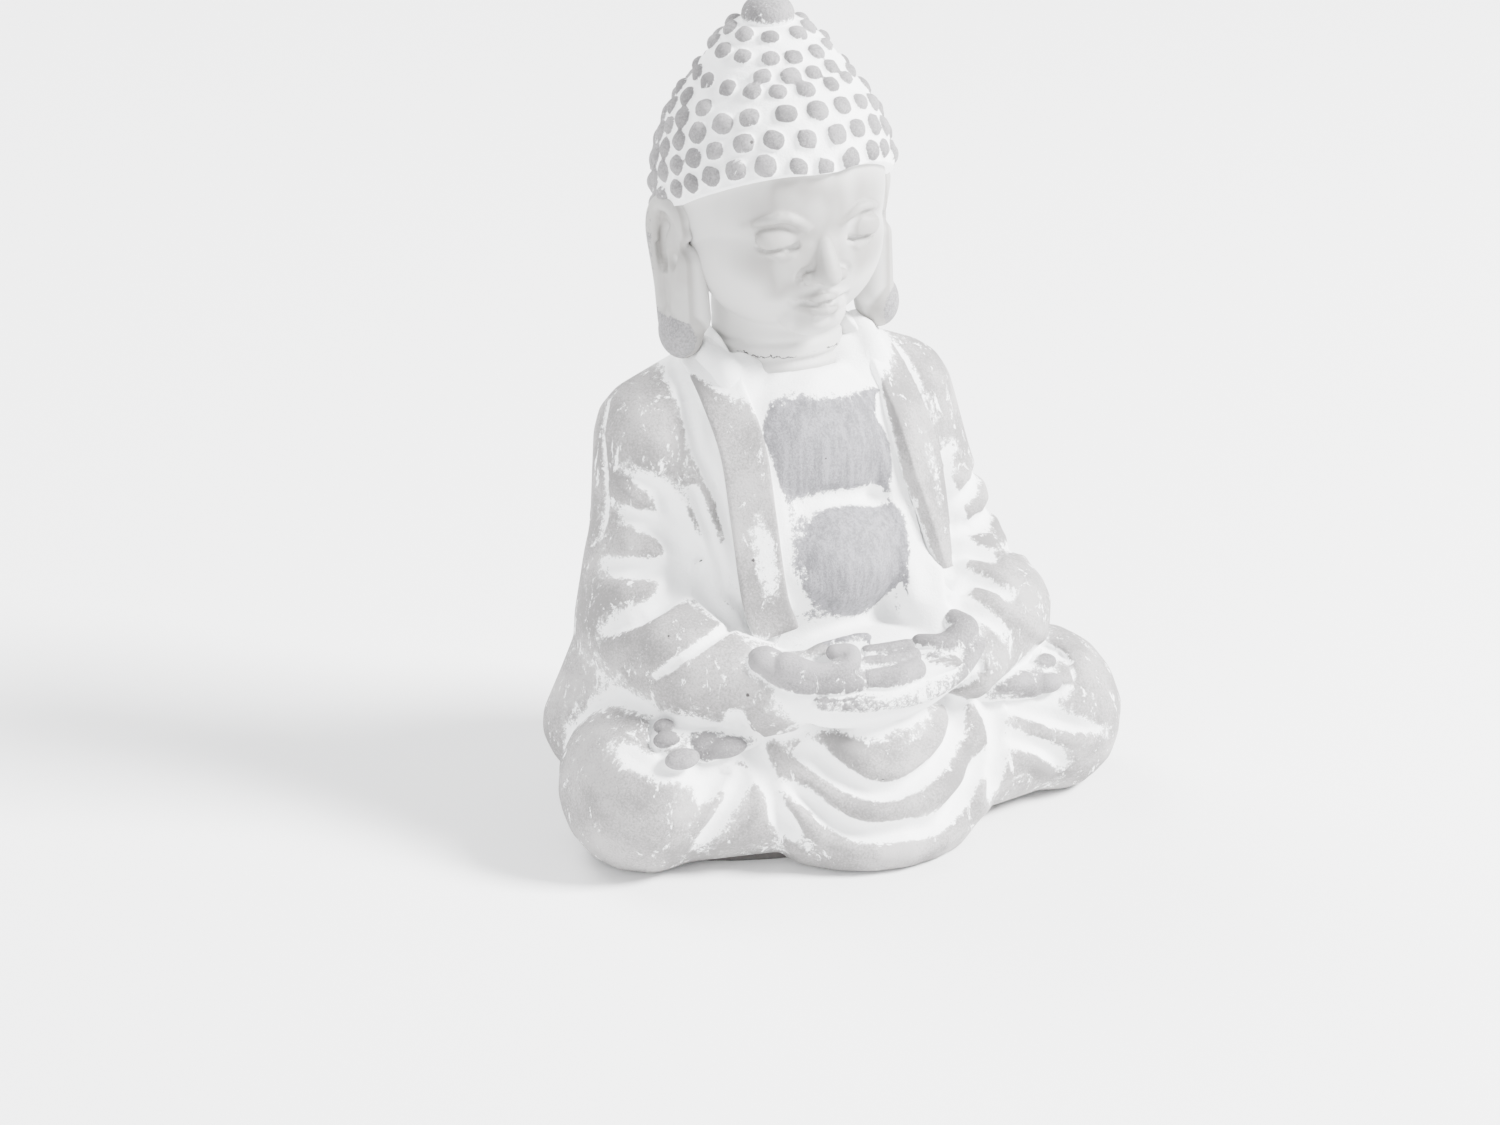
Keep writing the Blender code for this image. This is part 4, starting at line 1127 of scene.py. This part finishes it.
# %% Grain and pinholes
def grain_group():
    tree, start, end = group("Grain", {"Coarse": 0.5}, ("Height", "Tone", "Pits"))
    place = millimetres(tree)
    sand = noise(tree, place, 3.2, 4, 0.7)
    clods = noise(tree, place, 1.6, 3, 0.55)
    cells = node(tree, "ShaderNodeTexVoronoi", {"Vector": place, "Scale": 0.24})
    wobble = calc(tree, "MULTIPLY", noise(tree, place, 4.0, 2), 0.05)
    distance = calc(tree, "SUBTRACT", cells.outputs["Distance"], wobble)
    pick = node(tree, "ShaderNodeSeparateColor", {0: cells.outputs["Color"]})
    chosen = calc(tree, "GREATER_THAN", pick.outputs[0], 0.80)
    size = calc(tree, "MULTIPLY_ADD", pick.outputs[1], 0.035, 0.012)
    pit = calc(tree, "MULTIPLY", calc(tree, "LESS_THAN", distance, size), chosen)
    coarse = calc(tree, "MULTIPLY", sand, start.outputs["Coarse"])
    height = calc(tree, "MULTIPLY_ADD", clods, 0.6, coarse)
    tree.links.new(calc(tree, "MULTIPLY_ADD", pit, -1.5, height), end.inputs["Height"])
    tree.links.new(sand, end.inputs["Tone"])
    tree.links.new(pit, end.inputs["Pits"])
    return tree


GRAIN = grain_group()


# %% The ragged edge of the wash
def ragged_group():
    levels = {"Wash": 0.5, "Blotch": 0.2, "Specks": 0.3, "Scuffs": 0.0}
    tree, start, end = group("Ragged edge", levels, ("White", "Film"))
    place = millimetres(tree)
    blotch, torn, speck = (calc(tree, "SUBTRACT", noise(tree, place, *settings), 0.5)
                           for settings in ((0.32, 3, 0.6, 0.4), (1.1, 4, 0.7), (3.4, 3, 0.7)))
    specks = start.outputs["Specks"]
    value = calc(tree, "MULTIPLY_ADD", blotch, start.outputs["Blotch"], start.outputs["Wash"])
    value = calc(tree, "MULTIPLY_ADD", torn, calc(tree, "MULTIPLY", specks, 1.1), value)
    smear = ramp(tree, noise(tree, millimetres(tree, (1, 1, 0.4)), 0.55, 5, 0.75, 0.5), 0.55, 0.67)
    value = calc(tree, "MULTIPLY_ADD", smear, start.outputs["Scuffs"], value)
    tree.links.new(ramp(tree, value, 0.28, 0.56), end.inputs["Film"])
    value = calc(tree, "MULTIPLY_ADD", speck, specks, value)
    tree.links.new(ramp(tree, value, 0.47, 0.53), end.inputs["White"])
    return tree


RAGGED = ragged_group()


# %% Clouds of tone
def clouds_group():
    tree, start, end = group("Clouds", {"Streaks": 0.0}, ("Tone",))
    wide = noise(tree, millimetres(tree), 0.12, 3, 0.5)
    brushed = noise(tree, millimetres(tree, (1.3, 1.3, 0.12)), 0.9, 4, 0.6)
    mixed = node(tree, "ShaderNodeMix", {0: start.outputs["Streaks"], 2: wide, 3: brushed})
    tree.links.new(mixed.outputs[0], end.inputs["Tone"])
    return tree


CLOUDS = clouds_group()


def use(tree, made, **inputs):
    """The outputs of a node group that is placed with its own values."""
    return node(tree, "ShaderNodeGroup", inputs, node_tree=made).outputs


# %% [markdown]
# A cement finish is grey cement with white wash on it. The grey is cooler and grainier where
# it was rubbed hardest. A thin film of wash lightens it near the border, and that film is what
# keeps the two from looking like a map of two flat colours.


# %% Cement with wash
WHITE = (0.92, 0.925, 0.925, 1)
# Near-black: painted shade for the pinholes of the cement, and the dark of the crack round the
# neck.
PINHOLE_SHADE_AND_CRACK = (0.05, 0.045, 0.045, 1)


def shader_of(name, roughness):
    made = bpy.data.materials.new(name)
    made.use_nodes = True
    tree = made.node_tree
    shader = tree.nodes["Principled BSDF"]
    shader.inputs["Roughness"].default_value = roughness
    return made, tree, shader


def stored(tree, name):
    """A value that is kept on the piece's own vertices."""
    return node(tree, "ShaderNodeAttribute", attribute_name=name).outputs["Fac"]


def surfaced(tree, shader, colour, roughness=None, height=None, strength=0.6, deep=0.18):
    """Links the colour, the roughness and a bump, which is so many millimetres deep."""
    tree.links.new(colour, shader.inputs["Base Color"])
    if roughness is not None:
        tree.links.new(roughness, shader.inputs["Roughness"])
    if height is not None:
        bump = node(tree, "ShaderNodeBump",
                    {"Height": height, "Strength": strength, "Distance": deep * MM})
        tree.links.new(bump.outputs[0], shader.inputs["Normal"])


def washed_cement(name, grey, blotch, specks, streaks=0.0, coarse=0.5, scuffs=0.3, buttons=False):
    made, tree, shader = shader_of(name, 0.9)
    wash = stored(tree, "wash")
    if buttons:
        raised = ramp(tree, stored(tree, "relief"), 0.06, 0.44, 0.30, -0.36)
        wash = calc(tree, "ADD", calc(tree, "MULTIPLY_ADD", wash, 0.5, 0.28), raised)
    edge = use(tree, RAGGED, Wash=wash, Blotch=blotch, Specks=specks, Scuffs=scuffs)
    grain = use(tree, GRAIN, Coarse=coarse)
    clouds = use(tree, CLOUDS, Streaks=streaks)
    dark, light = ([share * value for value in grey] + [1] for share in (0.70, 1.3))
    cloudy = calc(tree, "MULTIPLY", clouds["Tone"], 0.55)
    tone = calc(tree, "MULTIPLY_ADD", grain["Tone"], 0.45, cloudy)
    cement = blend(tree, ramp(tree, tone, 0.40, 0.60), dark, light)
    filmed = blend(tree, calc(tree, "MULTIPLY", edge["Film"], 0.35), cement, WHITE)
    # The pinholes are painted near-black, as the shade inside them.
    colour = blend(tree, grain["Pits"], blend(tree, edge["White"], filmed, WHITE), PINHOLE_SHADE_AND_CRACK)
    height = calc(tree, "MULTIPLY_ADD", edge["White"], 0.5, grain["Height"])
    surfaced(tree, shader, colour, ramp(tree, edge["White"], 0, 1, 0.86, 0.94), height)
    return made


CLOTH_CEMENT = washed_cement("washed cement cloth", (0.265, 0.256, 0.254), 0.3, 0.8, scuffs=0.5)
BARE_CEMENT = washed_cement("rubbed cement skin", (0.185, 0.182, 0.195), 0.3, 1.0, 0.75, 0.8, 0.4)
GRAINY_CEMENT = washed_cement("rubbed cement hands", (0.20, 0.193, 0.197), 0.25, 0.9,
                              coarse=1.2, scuffs=0.45)
HAIR_CEMENT = washed_cement("buttoned cement hair", (0.20, 0.194, 0.197), 0.25, 0.7,
                            coarse=1.0, scuffs=0.4, buttons=True)


# %% The smooth face
def joint_line(tree):
    """A mask of the hairline crack round the neck, where the head was set on the body."""
    place = millimetres(tree)
    height = node(tree, "ShaderNodeSeparateXYZ", {0: place}).outputs["Z"]
    wander = calc(tree, "MULTIPLY_ADD", noise(tree, place, 0.25, 5, 0.7), 4.0, NECK.z + 1.2)
    away = calc(tree, "ABSOLUTE", calc(tree, "SUBTRACT", height, wander))
    broken = ramp(tree, noise(tree, place, 0.35, 2), 0.42, 0.5)
    return calc(tree, "MULTIPLY", ramp(tree, away, 0.06, 0.13, 1, 0), broken)


def smooth_cement():
    """The face was rubbed smooth, so it is off-white with warm, slow clouds, and painted shade
    darkens its finest lines. Where the wash is gone, as on the lobes, the grey cement shows."""
    made, tree, shader = shader_of("smooth cement face", 0.6)
    wash = stored(tree, "wash")
    edge = use(tree, RAGGED, Wash=wash, Blotch=0.15, Specks=0.6)
    grain = use(tree, GRAIN, Coarse=1.0)
    clouds = use(tree, CLOUDS)
    warm = blend(tree, ramp(tree, clouds["Tone"], 0.35, 0.65), (0.30, 0.292, 0.28, 1),
                 (0.36, 0.355, 0.345, 1))
    pale = blend(tree, ramp(tree, wash, 1.5, 2.2), warm, (0.80, 0.80, 0.79, 1))
    # Painted shade: the deepest creases of the face (lid, nose and mouth lines) are darkened
    # towards a dark warm grey.
    painted_crease_shade = ramp(tree, stored(tree, "crease"), 0.56, 0.66, 0, 0.55)
    clean = blend(tree, joint_line(tree), blend(tree, painted_crease_shade, pale, (0.20, 0.19, 0.18, 1)), PINHOLE_SHADE_AND_CRACK)
    rough = blend(tree, ramp(tree, grain["Tone"], 0.36, 0.64), (0.15, 0.145, 0.15, 1),
                  (0.25, 0.245, 0.25, 1))
    bare = calc(tree, "SUBTRACT", 1.0, edge["White"])
    height = calc(tree, "MULTIPLY", grain["Height"], calc(tree, "MULTIPLY_ADD", bare, 0.9, 0.1))
    surfaced(tree, shader, blend(tree, edge["White"], rough, clean),
             ramp(tree, clouds["Tone"], 0.3, 0.7, 0.55, 0.68), height, 0.5, 0.16)
    return made


# %% The pin and the pad
def brushed_steel():
    made, tree, shader = shader_of("brushed steel pin", 0.35)
    shader.inputs["Metallic"].default_value = 1.0
    lines = noise(tree, millimetres(tree, (0.2, 0.2, 6)), 2, 3)
    surfaced(tree, shader, blend(tree, lines, (0.42, 0.42, 0.43, 1), (0.62, 0.62, 0.63, 1)),
             ramp(tree, lines, 0.3, 0.7, 0.28, 0.45))
    return made


def felt():
    made, tree, shader = shader_of("dark felt", 0.95)
    hairs = noise(tree, millimetres(tree), 3.5, 4, 0.7, 1.2)
    surfaced(tree, shader, blend(tree, hairs, (0.04, 0.038, 0.038, 1), (0.11, 0.105, 0.1, 1)),
             height=hairs, deep=0.1)
    return made


FACE_CEMENT = smooth_cement()
STEEL = brushed_steel()
FELT = felt()

# %% [markdown]
# ## Riding on the frame
#
# Every piece is moved with a body and takes its material, and the imported nodes it stands for
# are hidden. The statue has one body, the root.

# %% Attach every piece
def attach(piece, material, slot, *nodes):
    piece.data.materials.clear()
    piece.data.materials.append(material)
    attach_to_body(piece, "root")
    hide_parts(*nodes)


for node_name in SKIN_NODES:
    bare = node_name == "chest"
    attach(sections[node_name + "_cast"], BARE_CEMENT if bare else CLOTH_CEMENT,
           "rubbed_cement" if bare else "washed_cement", node_name)
for node_name in ("hair_cap", "crown"):
    attach(hair_sections[node_name + "_cast"], HAIR_CEMENT, "washed_cement", node_name)
attach(knob.piece, GRAINY_CEMENT, "washed_cement", "crown_finial")
for cast_ones, material, slot in (({"head": face, **ears}, FACE_CEMENT, "smooth_cement"),
                                  (lapels, CLOTH_CEMENT, "washed_cement"),
                                  ({**hands, **feet}, GRAINY_CEMENT, "rubbed_cement")):
    for name, surface in cast_ones.items():
        attach(surface.piece, material, slot, name)
attach(dowel, STEEL, "dowel", "neck_dowel")
attach(pad, FELT, "pad", "base_pad")

# %% [markdown]
# ## Floor, light and camera
#
# White objects need soft light with a direction, or their shape is lost. A wide lamp stands
# in front on the figure's left, a weaker one on its right, and the world gives the rest.

# %% Floor
def studio_floor():
    bm = bmesh.new()
    bmesh.ops.create_grid(bm, x_segments=1, y_segments=1, size=3)
    mesh = mesh_of(bm, "studio_floor")
    made, _, shader = shader_of("pale floor", 0.8)
    shader.inputs["Base Color"].default_value = (0.86, 0.86, 0.86, 1)
    mesh.materials.append(made)
    floor = new_piece("studio_floor", mesh)
    floor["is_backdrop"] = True


studio_floor()


# %% Lamps and sky
def lamp(name, place, target, size, power):
    light = bpy.data.lights.new(name, "AREA")
    light.size = size
    light.energy = power
    made = bpy.data.objects.new(name, light)
    bpy.context.scene.collection.objects.link(made)
    made.location = place
    made.rotation_euler = (Vector(target) - Vector(place)).to_track_quat("-Z", "Y").to_euler()


MIDDLE = (0, 0, 0.06)
lamp("key", (0.75, -0.50, 0.80), MIDDLE, 0.34, 90.0)
lamp("fill", (-0.8, -0.6, 0.35), MIDDLE, 0.6, 10.0)
lamp("rim", (-0.2, 0.6, 0.7), MIDDLE, 0.5, 14.0)
world = bpy.context.scene.world or bpy.data.worlds.new("studio")
bpy.context.scene.world = world
world.use_nodes = True
world.node_tree.nodes["Background"].inputs[0].default_value = (0.95, 0.97, 1.0, 1)
world.node_tree.nodes["Background"].inputs[1].default_value = 1.15

# %% Camera
AZIMUTH = math.radians(-25)
ELEVATION = math.radians(23)
DISTANCE = 714
across = Vector((math.cos(AZIMUTH), math.sin(AZIMUTH), 0))
towards = Vector((math.sin(AZIMUTH) * math.cos(ELEVATION), -math.cos(AZIMUTH) * math.cos(ELEVATION),
                  math.sin(ELEVATION)))
upward = towards.cross(across)
camera_data = bpy.data.cameras.new("camera")
camera_data.lens = 120
camera_data.sensor_width = 36
camera_data.clip_start = 0.01
camera = bpy.data.objects.new("camera", camera_data)
bpy.context.scene.collection.objects.link(camera)
place = Matrix((across, upward, towards)).transposed().to_4x4()
place.translation = (DISTANCE * towards - 8.2 * across + 33.8 * upward) * MM
camera.matrix_world = place
bpy.context.scene.camera = camera

# %% [markdown]
# ## Finish
#
# The last step prints the size of what is shown beside the imported model's.

# %% Size
looks_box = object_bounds()
for axis, low, high, seen_low, seen_high in zip("xyz", *cad_box, *looks_box):
    print(axis, "packed", round(low / MM, 1), round(high / MM, 1),
          "shown", round(seen_low / MM, 1), round(seen_high / MM, 1))
